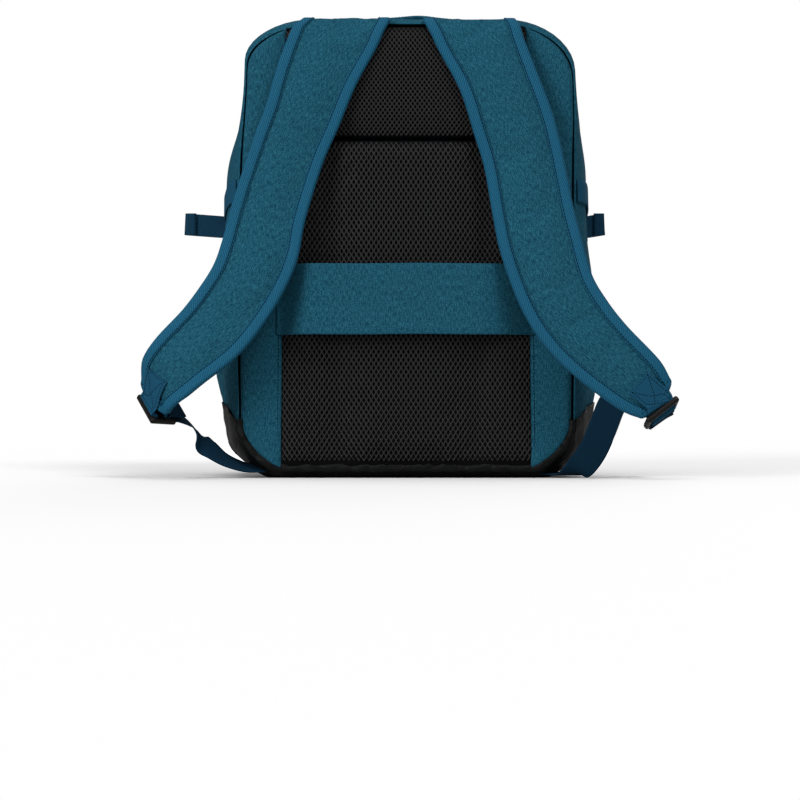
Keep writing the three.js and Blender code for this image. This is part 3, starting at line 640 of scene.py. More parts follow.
def satin_plastic(name, colour, roughness, grain, specular=0.5):
    """Moulded plastic or lacquer: dark and satin, with a faint grain that breaks up its gloss."""
    material, tree = new_material(name)
    place = add(tree, "ShaderNodeTexCoord").outputs["Object"]
    speck = add(tree, "ShaderNodeTexNoise", {"Vector": place, "Scale": 1 / grain, "Detail": 2.0})
    gloss = add(tree, "ShaderNodeMapRange", {"Value": speck.outputs["Fac"], "To Min": roughness - 0.08,
                                             "To Max": roughness + 0.1})
    bump = add(tree, "ShaderNodeBump", {"Strength": 0.15, "Distance": 0.0003, "Height": speck.outputs["Fac"]})
    surface(tree, {"Base Color": linear(colour), "Roughness": gloss.outputs["Result"],
                   "Normal": bump.outputs["Normal"], "Specular IOR Level": specular})
    return material


zip_tape = show("zip_tape", tape_mesh, tape_material(), "zip_tape", "zip_chain")
wall(zip_tape, TAPE_THICK)
zip_middle = (ZIP["back"] + ZIP["front"]) / 2
x, z = outline(zip_middle)
up = z > ZIP["end"] + 3
coil = np.column_stack([x, np.full(len(x), zip_middle), z])[up]
away = np.gradient(coil, axis=0)
away = unit(np.column_stack([away[:, 2], np.zeros(len(away)), -away[:, 0]]))
nylon = satin_plastic("nylon_coil_black", "#161718", 0.45, 0.002)
sew("zip_coil", [(coil + away * hollows(coil)[:, None], away)], nylon, ZIP_PITCH, TOOTH)


def slotted_plate(name, columns, levels, holes, thick, bevel):
    """A flat plate from a grid of columns and levels in millimetres, without the cells that are holes."""
    build = bmesh.new()
    grid = {(i, j): build.verts.new((u, v, -thick / 2))
            for i, u in enumerate(columns) for j, v in enumerate(levels)}
    for i in range(len(columns) - 1):
        for j in range(len(levels) - 1):
            if (i, j) not in holes:
                build.faces.new([grid[i, j], grid[i + 1, j], grid[i + 1, j + 1], grid[i, j + 1]])
    raised = bmesh.ops.extrude_face_region(build, geom=build.faces[:])
    top = [v for v in raised["geom"] if isinstance(v, bmesh.types.BMVert)]
    bmesh.ops.translate(build, verts=top, vec=(0, 0, thick))
    bmesh.ops.recalc_face_normals(build, faces=build.faces)
    corners = [e for e in build.edges if e.calc_face_angle(0) > 0.5]
    bmesh.ops.bevel(build, geom=corners, offset=bevel, segments=3, profile=0.5, affect="EDGES")
    mesh = smooth_mesh(name, build)
    mesh.set_sharp_from_angle(angle=math.radians(50))
    return mesh


def stand(mesh, at, wide, along):
    """Moves a plate's mesh from its own frame to its place in millimetres."""
    wide, along = np.asarray(wide, float), np.asarray(along, float)
    frame_axes = np.column_stack([wide, along, np.cross(wide, along)])
    points = coordinates(mesh) @ frame_axes.T + np.asarray(at)
    mesh.vertices.foreach_set("co", (points * 0.001).ravel())


lacquer = satin_plastic("lacquered_zinc_black", "#1A1A1B", 0.35, 0.004)
slider_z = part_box("zip_slider")[0].z * 1000
slider_mesh = slotted_plate("zip_slider", (-4.5, -1.2, 1.2, 4.5), (0, 5, 7, 12), (), SLIDER["thick"],
                            bevel=0.9)
stand(slider_mesh, (SLIDER["x"], zip_middle, slider_z + SLIDER["lift"]), (0, -1, 0), (1, 0, 0))
show("slider_body", slider_mesh, lacquer, "zip_metal", "zip_slider")
pull_mesh = slotted_plate("zip_pull", (-3, -1.4, 1.4, 3), (0, 2.4, 6, 21, 25, 28), ((1, 1), (1, 3)),
                          PULL["thick"], bevel=0.5)
stand(pull_mesh, (PULL["x"], zip_middle, slider_z + PULL["lift"]), (0, -1, 0), (1, 0, 0))
show("zip_pull", pull_mesh, lacquer, "zip_metal")

# Back panel edges: two strips of the teal cloth over thin foam, turned under along the mesh with a row of
# stitches, and sewn to the gusset at the outer edge, where they round off into the seam.
MESH_EDGE = {"z": [9, 390], "half": [109, 104.5]}
STRIP_CROWN = 2.2
EDGE_ROUND = 5.0
SEAM_GROOVE = 2.6  # how far the strips end inside the seam
PANEL_LOW, PANEL_HIGH = 9.2, 392.2
STRIP_SEWN = {"in": 3.2, "off": 1.75, "low": 13.0, "high": 383.0, "count": 120}  # the row of stitches


def mesh_half(z):
    """Half width of the mesh field at a height."""
    return np.interp(z, MESH_EDGE["z"], MESH_EDGE["half"])


def panel_edge(z, sign=1):
    """How far the back panel reaches to one side at a height."""
    x_ring, z_ring = outline(BACK_Y)
    side = np.arange(BASE_COUNT, ring_count // 2 + 1 - ROOF_COUNT)
    if sign < 0:
        side = ring_count - side
    return np.interp(z, z_ring[side], sign * x_ring[side])


def strip_rise(u):
    """Height of a strip over its seat, from the mesh side (0) to the outer seam (1)."""
    return STRIP_CROWN * np.sin(np.pi * np.clip(u, 0, 1)) ** 0.6


strip_z = np.linspace(PANEL_LOW, PANEL_HIGH, 150)
strip_u = np.concatenate([np.linspace(0, 0.1, 5), np.linspace(0.16, 0.84, 12), np.linspace(0.9, 1, 6)])
for side, sign in (("left", -1), ("right", 1)):
    rings = []
    for z in strip_z:
        start = mesh_half(z) - 0.6
        edge = max(panel_edge(z, sign) - SEAM_GROOVE, start + 1.2)
        xs = start + (edge - start) * strip_u
        falls = np.clip((xs - (edge - EDGE_ROUND)) / EDGE_ROUND, 0, 1)
        folded = np.clip((start + 2.0 - xs) / 2.0, 0, 1)
        ys = BACK_Y - strip_rise(strip_u) - 0.7 + 2.6 * falls ** 2.2 + 0.8 * folded ** 2
        front_row = np.column_stack([sign * xs, ys, np.full(len(xs), z)])
        back_row = np.column_stack([sign * xs[::-1], np.full(len(xs), BACK_Y + 2.3), np.full(len(xs), z)])
        rings.append(np.concatenate([front_row, back_row]))
    points = np.concatenate(rings)
    soft = ripple(points, (22, 200, 46), 7 + sign)
    points[:, 1] -= 0.45 * soft * (points[:, 1] < BACK_Y + 0.5)
    mesh = capped(f"back_strip_{side}", points.reshape(len(rings), -1, 3))
    box_uv(mesh)
    strip = show(f"panel_edge_{side}", mesh, teal, "teal_cloth", f"back_strip_{side}")
    count = STRIP_SEWN["count"]
    row_z = np.linspace(STRIP_SEWN["low"], STRIP_SEWN["high"], count)
    row_x = sign * (mesh_half(row_z) + STRIP_SEWN["in"])
    row = np.column_stack([row_x, np.full(count, BACK_Y - STRIP_SEWN["off"]), row_z])
    sew(f"strip_stitches_{side}", [(row, np.tile((0.0, -1.0, 0.0), (count, 1)))], teal_thread)

# Back pads: foam under black spacer mesh, one pad above a sewn cross line and one below it with two sewn
# channels beside a raised middle column. The knitted face is a real net of staggered holes over dark foam.
MESH_CROWN = 8.6
GROOVE = (293.2, 296.8)
COLUMN = ((9, 33), (75, 39), (115, 43), (220, 48), (300, 52))  # height, and half the middle column's width
CHANNEL_END = 84.0  # where the sewn channels beside it end
CHANNEL_DEEP = 0.85
NET_LIFT = 0.95
PAD_STEP = 4.0
SEWN_SIDE, SEWN_END = 5.0, 4.0  # how far from its seams a pad is held down
FILL_STEPS = 20
NET_RINGS = ((1.0, 0.5, -0.1), (0.82, 0.52, 0.05), (0.68, 0.56, 0.9))  # size, fullness of the sides, dip


def pad_rise(x, z, low, high, rises, channels):
    """Height of a foam pad over the back panel."""
    def climb(distance, length):
        """A soft rise from 0 to 1 over a length."""
        return np.sin(np.clip(distance / length, 0, 1) * np.pi / 2) ** 0.8

    height = climb(mesh_half(z) - np.abs(x), 15) * climb(z - low, rises[0]) * climb(high - z, rises[1])
    if channels:
        column = np.interp(z, *zip(*COLUMN))
        away = np.abs(2 * np.abs(x) - column - CHANNEL_END) / (CHANNEL_END - column)
        height = height * (1 - CHANNEL_DEEP * np.where(away < 1, np.cos(away * np.pi / 2) ** 2, 0))
        height = height * (1 - 0.28 * np.clip((np.abs(x) - column) / (CHANNEL_END - column), 0, 1))
    return 0.6 + (MESH_CROWN - NET_LIFT) * height


def inflate(piece, pinned, pressure, cap, slack):
    """Fills a sewn cover by a short cloth run under pressure, held at its seams, each move capped in mm."""
    start = coordinates(piece.data)
    piece.vertex_groups.new(name="sewn").add([int(i) for i in pinned], 1.0, "REPLACE")
    cloth = piece.modifiers.new("filling", "CLOTH")
    cloth.settings.vertex_group_mass = "sewn"
    cloth.settings.use_pressure = True
    cloth.settings.uniform_pressure_force = pressure
    cloth.settings.shrink_min = -slack
    cloth.settings.effector_weights.gravity = 0
    cloth.point_cache.frame_end = FILL_STEPS
    for step in range(1, FILL_STEPS + 1):
        scene.frame_set(step)
    filled = piece.evaluated_get(bpy.context.evaluated_depsgraph_get()).to_mesh()
    move = coordinates(filled) - start
    far = np.linalg.norm(move, axis=1, keepdims=True)
    limit = cap * 0.001
    move *= np.where(far > limit, limit / np.maximum(far, 1e-9), 1.0)
    piece.modifiers.clear()
    piece.vertex_groups.clear()
    piece.data.vertices.foreach_set("co", (start + move).ravel())
    piece.data.update()
    scene.frame_set(1)


foam, tree = new_material("polyurethane_foam_black")
place = add(tree, "ShaderNodeTexCoord").outputs["Object"]
cells = add(tree, "ShaderNodeTexNoise", {"Vector": place, "Scale": 1 / 0.0015, "Detail": 1.0})
pores = add(tree, "ShaderNodeBump", {"Strength": 0.4, "Distance": 0.0005, "Height": cells.outputs["Fac"]})
surface(tree, {"Base Color": linear("#040404"), "Roughness": 0.95, "Normal": pores.outputs["Normal"],
               "Specular IOR Level": 0.1})

knit, tree = new_material("knitted_polyester_black")
place = add(tree, "ShaderNodeTexCoord").outputs["Object"]
strands = add(tree, "ShaderNodeTexNoise", {"Vector": place, "Scale": 1 / 0.0007, "Detail": 1.0})
tone = two_tone(tree, strands.outputs["Fac"], "#111112", "#222223")
twist = add(tree, "ShaderNodeBump", {"Strength": 0.4, "Distance": 0.0003, "Height": strands.outputs["Fac"]})
surface(tree, {"Base Color": tone, "Roughness": 0.7, "Normal": twist.outputs["Normal"],
               "Specular IOR Level": 0.35, "Sheen Weight": 0.05})


def net_tile(pitch, rise):
    """One diamond of the knitted net: strand crests round a hole whose rim dips towards the foam."""
    turn = np.arange(8) * np.pi / 4
    rings = []
    for share, fullness, dip in NET_RINGS:
        size = share * np.where(np.arange(8) % 2, fullness / math.sqrt(0.5), 1.0)
        x, z = np.cos(turn) * size * pitch / 2, np.sin(turn) * size * rise
        rings.append(np.column_stack([x, np.full(8, dip), z]))
    return new_mesh("net_tile", np.concatenate(rings), loft_faces(8, len(rings)))


# The net: staggered points over the pad, one cell on each, joined, then dropped onto the pad's own face
net_sizes = {"Pad": "Geometry", "Cell": "Object", "Across": "Float", "Rows": "Float", "Wide": "Int",
             "High": "Int", "Middle": "Float", "Lift": "Float", "Knit": "Material"}
net_tree, net_inputs, given = geometry_tree("perforated_net", net_sizes, "Net")


def figure(operation, first, second):
    """One sum on two values in the net's tree."""
    return add(net_tree, "ShaderNodeMath", {0: first, 1: second}, operation=operation).outputs[0]


wide = figure("MULTIPLY", figure("SUBTRACT", given["Wide"], 1.0), given["Across"])
high = figure("MULTIPLY", figure("SUBTRACT", given["High"], 1.0), given["Rows"])
points = add(net_tree, "GeometryNodeMeshGrid", {"Size X": wide, "Size Y": high, "Vertices X": given["Wide"],
                                                "Vertices Y": given["High"]})
position = add(net_tree, "GeometryNodeInputPosition").outputs[0]
at = add(net_tree, "ShaderNodeSeparateXYZ", {0: position}).outputs
level = figure("ADD", figure("DIVIDE", at["Y"], given["Rows"]), 0.001)
half_step = figure("MULTIPLY", given["Across"], 0.5)
shift = figure("MULTIPLY", figure("FLOORED_MODULO", figure("ROUND", level, 0.0), 2.0), half_step)
upright = add(net_tree, "ShaderNodeCombineXYZ",
              {"X": figure("ADD", at["X"], shift), "Z": figure("ADD", at["Y"], given["Middle"])})
staggered = add(net_tree, "GeometryNodeSetPosition",
                {"Geometry": points.outputs["Mesh"], "Position": upright.outputs[0]})
cell = add(net_tree, "GeometryNodeObjectInfo", {"Object": given["Cell"]})
cells = add(net_tree, "GeometryNodeInstanceOnPoints",
            {"Points": staggered.outputs[0], "Instance": cell.outputs["Geometry"]})
flat_net = add(net_tree, "GeometryNodeRealizeInstances", {"Geometry": cells.outputs[0]})
joined = add(net_tree, "GeometryNodeMergeByDistance", {"Geometry": flat_net.outputs[0], "Distance": 0.00005})
above_pad = add(net_tree, "ShaderNodeCombineXYZ", {"X": at["X"], "Y": -0.3, "Z": at["Z"]})
ray = add(net_tree, "GeometryNodeRaycast",
          {"Target Geometry": given["Pad"], "Source Position": above_pad.outputs[0],
           "Ray Direction": (0.0, 1.0, 0.0), "Ray Length": 1.0})
raised = add(net_tree, "ShaderNodeVectorMath", {0: ray.outputs["Hit Normal"]}, operation="SCALE")
net_tree.links.new(figure("SUBTRACT", given["Lift"], at["Y"]), raised.inputs["Scale"])
onto = add(net_tree, "ShaderNodeVectorMath", {0: ray.outputs["Hit Position"], 1: raised.outputs[0]},
           operation="ADD")
missed = add(net_tree, "FunctionNodeBooleanMath", {0: ray.outputs["Is Hit"]}, operation="NOT")
held = add(net_tree, "GeometryNodeCaptureAttribute", {"Geometry": joined.outputs[0]}, domain="POINT")
held.capture_items.new("BOOLEAN", "Missed")
net_tree.links.new(missed.outputs[0], held.inputs["Missed"])
dropped = add(net_tree, "GeometryNodeSetPosition",
              {"Geometry": held.outputs["Geometry"], "Position": onto.outputs[0]})
trimmed = add(net_tree, "GeometryNodeDeleteGeometry",
              {"Geometry": dropped.outputs[0], "Selection": held.outputs["Missed"]})
rounded = add(net_tree, "GeometryNodeSetShadeSmooth", {"Geometry": trimmed.outputs[0]})
knitted = add(net_tree, "GeometryNodeSetMaterial",
              {"Geometry": rounded.outputs[0], "Material": given["Knit"]})
add(net_tree, "NodeGroupOutput", {"Net": knitted.outputs[0]})

# Name, lowest and highest edge, how fast it rises at each, bare foot, channels, pitch and rise of the holes
PADS = (
    ("lower", PANEL_LOW, GROOVE[0], (26, 11), 4.5, True, 4.3, 3.5),
    ("upper", GROOVE[1], PANEL_HIGH, (24, 40), 0.0, False, 4.0, 2.65),
)
for name, low, high, rises, foot, channels, pitch, rise in PADS:
    xs = np.linspace(-1, 1, int(2 * MESH_EDGE["half"][0] / PAD_STEP) + 1)
    zs = np.linspace(low, high, int((high - low) / PAD_STEP) + 1)
    across, heights = np.meshgrid(xs, zs)
    across = across * mesh_half(heights)
    room = SEAM_GROOVE + 0.6
    across = np.clip(across, room - panel_edge(heights, -1), panel_edge(heights, 1) - room)
    crown = BACK_Y - pad_rise(across, heights, low, high, rises, channels)
    face = np.column_stack([across.ravel(), crown.ravel(), heights.ravel()])
    under = np.column_stack([across.ravel(), np.full(across.size, BACK_Y + 2.0), heights.ravel()])
    columns, levels = len(xs), len(zs)
    front_faces = loft_faces(columns, levels, closed=False)
    offset = len(face)
    faces = front_faces + [tuple(offset + i for i in reversed(f)) for f in front_faces]
    rim = [*range(columns), *(columns * (k + 1) - 1 for k in range(1, levels)),
           *range(columns * levels - 2, columns * (levels - 1) - 1, -1),
           *(columns * k for k in range(levels - 2, 0, -1))]
    for a, b in zip(rim, rim[1:] + rim[:1]):
        faces.append((a, b, b + offset, a + offset))
    mesh = new_mesh(f"back_pad_{name}", np.concatenate([face, under]), faces)
    pad = show(f"back_pad_{name}", mesh, foam, "air_mesh", f"back_mesh_{name}")
    near_edge = np.abs(face[:, 0]) > mesh_half(face[:, 2]) - SEWN_SIDE
    near_edge |= (face[:, 2] < low + SEWN_END) | (face[:, 2] > high - SEWN_END)
    if channels:
        column = np.interp(face[:, 2], *zip(*COLUMN))
        near_edge |= np.abs(np.abs(face[:, 0]) - (column + CHANNEL_END) / 2) < SEWN_SIDE
    inflate(pad, [*np.flatnonzero(near_edge), *range(offset, 2 * offset)], pressure=1.5, cap=2.0, slack=0.01)
    net = bpy.data.objects.new(f"air_mesh_{name}", pad.data.copy())
    scene.collection.objects.link(net)
    knitting = net.modifiers.new("net", "NODES")
    knitting.node_group = net_tree
    tile = bpy.data.objects.new("net_tile", net_tile(pitch, rise))
    scene.collection.objects.link(tile)
    wide_count = int((2 * MESH_EDGE["half"][0] - 3.0) / pitch)
    high_count = int((high - low - foot - 3.5) / rise)
    settings = {"Cell": tile, "Across": pitch * 0.001, "Rows": rise * 0.001, "Wide": wide_count,
                "High": high_count, "Middle": (low + foot + high) / 2 * 0.001, "Lift": NET_LIFT * 0.001,
                "Knit": knit}
    for key, value in settings.items():
        knitting[net_inputs[key]] = value
    plain_mesh(net)
    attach(net, "root")
    bpy.data.objects.remove(tile)

# Luggage band: a strip of the teal cloth folded double across the back panel, with plain folded edges, sewn
# down at both sides and open above and below, standing off the pads in a flat bow.
BAND_BOW = {"x": [-112.5, -108, -102, -95, -87, -72, -45, 0, 45, 66, 77, 88, 98, 105, 109, 112.5],
            "off": [2.6, 3.4, 9, 16.5, 23.4, 25.8, 26.3, 26.4, 26.3, 25.4, 22.6, 17.6, 11.6, 6.6, 3.4, 2.6]}
BAND_LOW, BAND_HIGH = 124.4, 185.6
BAND_THICK = 2.0


def lay_cloth(mesh, across, along):
    """Cloth coordinates in metres from two distances in millimetres for each point."""
    layer = mesh.uv_layers.new(name="cloth")
    pairs = np.column_stack([np.ravel(across), np.ravel(along)]) * 0.001
    for loop in mesh.loops:
        layer.data[loop.index].uv = pairs[loop.vertex_index]


band_x = np.linspace(BAND_BOW["x"][0], BAND_BOW["x"][-1], 150)
band_off = eased(BAND_BOW, "x", "off", band_x, 5)
band_line = np.column_stack([band_x, BACK_Y - band_off])
band_walk = walked(band_line)
run = unit(np.gradient(band_line, axis=0))
outward = np.column_stack([run[:, 1], -run[:, 0]])
share = np.concatenate([[0, 0.006, 0.02, 0.045, 0.075, 0.09], np.linspace(0.13, 0.87, 14),
                        [0.91, 0.925, 0.955, 0.98, 0.994, 1]])
heights = BAND_LOW + (BAND_HIGH - BAND_LOW) * share
from_edge = np.minimum(heights - BAND_LOW, BAND_HIGH - heights)
half_thick = BAND_THICK / 2 * np.sqrt(np.clip(from_edge, 0.05, 1))
rings = []
for (x, y), (ox, oy) in zip(band_line, outward):
    front_side = np.column_stack([x + ox * half_thick, y + oy * half_thick, heights])
    back_side = np.column_stack([x - ox * half_thick, y - oy * half_thick, heights])[::-1]
    rings.append(np.concatenate([front_side, back_side]))
points = np.concatenate(rings)
sag = ripple(points * (1, 0, 1), (48, 1, 40), 11)
points[:, 1] += 0.8 * sag * np.clip((110 - np.abs(points[:, 0])) / 30, 0, 1)
points[:, 2] += 0.5 * ripple(points * (1, 0, 0), (60, 1, 1), 12)
band_mesh = capped("luggage_band", points.reshape(len(rings), -1, 3))
lay_cloth(band_mesh, np.repeat(band_walk, len(rings[0])), points[:, 2])
band = show("band_cloth", band_mesh, teal, "teal_cloth", "luggage_band")

# Carrying handle: a flat loop of the teal cloth over webbing, lying low on top between its sewn ends, with
# a row of stitches along each edge.
HANDLE_WIDE, HANDLE_THICK, HANDLE_Y = 25.0, 3.0, -62.0
HANDLE_SEAT = 400.8
HANDLE_SEWN = 10.0  # how far off its middle the stitches run
HANDLE_ROWS = ((-66, -0.6), (-50, -0.4), (-30, 0.6), (-12, 1.6), (2, 2.8), (10, 3.3), (18, 2.9), (30, 1.4),
               (48, -0.2), (66, -0.6))


def catmull(rows, steps):
    """A smooth curve through the rows of an array, with a number of steps in each span."""
    rows = np.asarray(rows, float)
    ends = np.concatenate([rows[:1], rows, rows[-1:]])
    fine = []
    for a, b, c, d in zip(ends, ends[1:], ends[2:], ends[3:]):
        for t in np.arange(steps) / steps:
            fine.append(0.5 * (2 * b + (c - a) * t + (2 * a - 5 * b + 4 * c - d) * t ** 2
                               + (3 * b - a - 3 * c + d) * t ** 3))
    return np.array([*fine, rows[-1]])


def ribbon(name, places, across, width, thick, steps=4):
    """Webbing along places in millimetres with rounded edges; also gives its middle line and its frame."""
    places, across = catmull(places, steps), catmull(across, steps)
    run = unit(np.gradient(places, axis=0))
    wide = unit(across - (across * run).sum(1)[:, None] * run)
    face = np.cross(run, wide)
    turn = np.linspace(-np.pi / 2, np.pi / 2, 6)
    round_u = width / 2 - thick / 2 + thick / 2 * np.cos(turn)
    round_v = thick / 2 * np.sin(turn)
    flat_u = np.linspace(width / 2 - thick / 2, thick / 2 - width / 2, 9)[1:-1]
    u = np.concatenate([round_u, flat_u, -round_u[::-1], flat_u[::-1]])
    v = np.concatenate([round_v, np.full(7, thick / 2), round_v[::-1], np.full(7, -thick / 2)])
    rings = [p + u[:, None] * w + v[:, None] * f for p, w, f in zip(places, wide, face)]
    mesh = capped(name, rings)
    lay_cloth(mesh, np.tile(u, len(rings)), np.repeat(walked(places), len(u)))
    return mesh, places, wide, face


handle_places = [(x, HANDLE_Y, HANDLE_SEAT + rise) for x, rise in HANDLE_ROWS]
handle_mesh, line, wide, face = ribbon("grab_handle", handle_places, [(0, 1, 0)] * len(handle_places),
                                       HANDLE_WIDE, HANDLE_THICK, 10)
show("handle_cloth", handle_mesh, teal, "teal_cloth", "grab_handle")
up = face * np.sign(face[:, 2:3])
handle_rows = [(line + wide * d + up * (HANDLE_THICK / 2), up) for d in (-HANDLE_SEWN, HANDLE_SEWN)]
sew("handle_stitches", handle_rows, teal_thread)

# Shoulder straps: foam pads in the teal cloth, sewn into the top seam and hanging down over the back panel
# and out past its sides. They are filled by a short cloth run, held along both edges under the binding.
STRAP_ROWS = {  # x, off the panel, z, turn of the run, width, thickness, lean of the outer edge
    "left": [(-52, -5, 398.2, 0, 77, 2.4, 0), (-52.2, 3.2, 397.8, 0, 77, 3, 0),
             (-58.6, 8, 389, 3, 79.2, 4.5, 0), (-64.4, 10.5, 375.9, 6, 77.8, 6.5, 0),
             (-77.8, 15, 346.3, 12, 70.6, 10, 0), (-89.4, 17.5, 313.1, 18, 66, 11, 0),
             (-101.8, 19.5, 281.9, 21, 64, 11, 0), (-117.5, 26, 231.5, 15, 65, 11, 3),
             (-125.4, 32, 196.3, 15, 67.5, 11, 5), (-135.1, 36, 171.3, 22, 65.5, 11, 6.5),
             (-149.7, 40, 147.3, 30, 65, 11, 8.5), (-166.6, 45, 125.5, 38, 64, 10.5, 12),
             (-192, 49, 102, 45, 60, 9, 18), (-206.5, 46, 86, 53, 56, 7, 22),
             (-214, 38, 70.5, 62, 46, 5, 24)],
    "right": [(55.3, -5, 397.8, 0, 81, 2.4, 0), (55.4, 3.2, 397.4, 0, 81, 3, 0), (60, 8, 389, 3, 79, 4.5, 0),
              (65.9, 10.5, 374.1, 6, 75.5, 6.5, 0), (80.3, 15, 342.4, 12, 69, 10, 0),
              (92.4, 17.5, 307, 17, 70.4, 11, 0), (100.7, 19.5, 277.1, 18, 69.4, 11, 0),
              (109, 26, 231, 11, 70, 11, 2), (115.5, 32, 201, 14, 71, 11, 3), (128, 38, 162, 23, 68, 11, 4),
              (144, 42, 134.5, 35, 67, 11, 5), (165, 46, 110.5, 44, 63, 10, 6), (197, 48, 82, 49, 56, 8, 8),
              (211.5, 46, 69.5, 48, 44, 5, 10)],
}
STRAP_STEPS = 8
LEVEL_ROWS = 10  # rows of the level cut at the top, before the sections stand square to the run
TIP_LENGTH = 6.0
PAD_EDGE = 4.0
PRESSED_ROWS, PRESSED = 2, 0.35  # the strap is pressed thin where it goes into the seam
BINDING_WIDE, BINDING_THICK, BINDING_SLACK = 11.0, 1.0, 0.6


def strap_frame(side):
    """Places, run, width and face directions, widths and thicknesses along a shoulder strap."""
    sign = -1 if side == "left" else 1
    x, off, z, turn, width, thick, lean = catmull(STRAP_ROWS[side], STRAP_STEPS).T
    places = np.column_stack([x, BACK_Y - off, z])
    run = unit(np.gradient(places, axis=0))
    angle, tilt = np.radians(turn), np.radians(lean)[:, None]
    level = np.column_stack([sign * np.cos(angle), np.zeros(len(x)), np.sin(angle)])
    square = np.clip(np.arange(len(x)) / STRAP_STEPS - LEVEL_ROWS, 0, 1)
    level = unit(level - (square * (level * run).sum(1))[:, None] * run)
    front = unit(np.cross(run, level)) * sign
    across = level * np.cos(tilt) - front * np.sin(tilt)
    face = front * np.cos(tilt) + level * np.sin(tilt)
    press = np.interp(np.arange(len(x)) / STRAP_STEPS, (0, PRESSED_ROWS), (PRESSED, 1))
    return {"at": places, "run": run, "across": across, "face": face,
            "width": width, "thick": thick, "press": press}


def with_tip(strap):
    """The strap's sections with its rounded end added."""
    ahead = np.array([0.3, 0.55, 0.75, 0.9, 0.98])
    longer = {key: np.concatenate([rows, np.repeat(rows[-1:], len(ahead), axis=0)])
              for key, rows in strap.items()}
    tip = slice(-len(ahead), None)
    longer["at"][tip] += longer["run"][tip] * (TIP_LENGTH * ahead)[:, None]
    longer["width"][tip] *= np.sqrt(1 - (0.92 * ahead) ** 2)
    longer["thick"][tip] = PAD_EDGE
    return longer


def strap_pad(name, strap):
    """A padded cover along the strap, full in the middle and thin under its binding."""
    spread = np.sin(np.linspace(-np.pi / 2, np.pi / 2, 25))
    half = (strap["width"] / 2 - BINDING_THICK - BINDING_SLACK)[:, None]
    bound = np.maximum(half - BINDING_WIDE, 0.25 * half)
    u = half * spread
    full = np.clip(1 - (np.abs(u) / bound) ** 2.6, 0, 1) ** 0.75
    edge = np.minimum(PAD_EDGE * strap["press"], strap["thick"])[:, None]
    v = edge / 2 + full * (strap["thick"][:, None] - edge) / 2
    middle = strap["at"][:, None] + u[..., None] * strap["across"][:, None]
    lift = v[..., None] * strap["face"][:, None]
    rings = np.concatenate([middle + lift, (middle - lift)[:, ::-1]], axis=1)
    mesh = capped(name, rings)
    lay_cloth(mesh, np.concatenate([u, u[:, ::-1]], axis=1), np.repeat(walked(strap["at"]), rings.shape[1]))
    held = np.concatenate([np.abs(u) > bound - 1.0] * 2, axis=1)
    held[:2] = True
    held[-8:] = True
    return mesh, np.flatnonzero(held.ravel())


# Binding: blue twill tape folded over the pad's raw edge and stitched through, down one side, round the
# tip and up the other. Twill shows as fine slanting ribs.
TWILL = {"pitch": 0.0017, "turn": 38, "axis": "X", "wobble": 0.3, "fleck": 0.0015, "bump": 0.5,
         "roughness": 0.75, "specular": 0.08}  # real ribs are about 0.8 mm; drawn wider so that they show


def ribbed_material(name, dark, light, ribs):
    """Woven tape: dull, with close ribs and flecks in their colour."""
    material, tree = new_material(name)
    uv = add(tree, "ShaderNodeUVMap", uv_map="cloth").outputs[0]
    turned = add(tree, "ShaderNodeMapping", {"Vector": uv, "Rotation": (0, 0, math.radians(ribs["turn"])),
                                             "Scale": (1 / ribs["pitch"],) * 3})
    bands = add(tree, "ShaderNodeTexWave",
                {"Vector": turned.outputs[0], "Scale": ONE_BAND, "Distortion": ribs["wobble"]},
                bands_direction=ribs["axis"]).outputs["Fac"]
    fleck = add(tree, "ShaderNodeTexNoise", {"Vector": uv, "Scale": 1 / ribs["fleck"], "Detail": 1.0})
    mixed = add(tree, "ShaderNodeMath", {0: bands, 1: fleck.outputs["Fac"]}, operation="MULTIPLY")
    tone = two_tone(tree, mixed.outputs[0], dark, light, 0.6)
    bump = add(tree, "ShaderNodeBump", {"Strength": ribs["bump"], "Distance": 0.0004, "Height": bands})
    surface(tree, {"Base Color": tone, "Roughness": ribs["roughness"], "Normal": bump.outputs["Normal"],
                   "Specular IOR Level": ribs["specular"]})
    return material


twill = ribbed_material("twill_tape_blue", "#114359", "#1D5D7C", TWILL)
# The binding's thread is near black, sewn in long close stitches just inside the tape's edge: a real row of
# stitches whose dark line is also painted shade, the shadow along the tape's edge.
edge_shade_thread = thread_material("polyester_thread_painted_edge_shade", "#051C29")
EDGE_STITCH = 1.1  # how far inside the tape's edge it is sewn
SHADE_LINE_STITCH = (0.8, 0.6, 2.9)


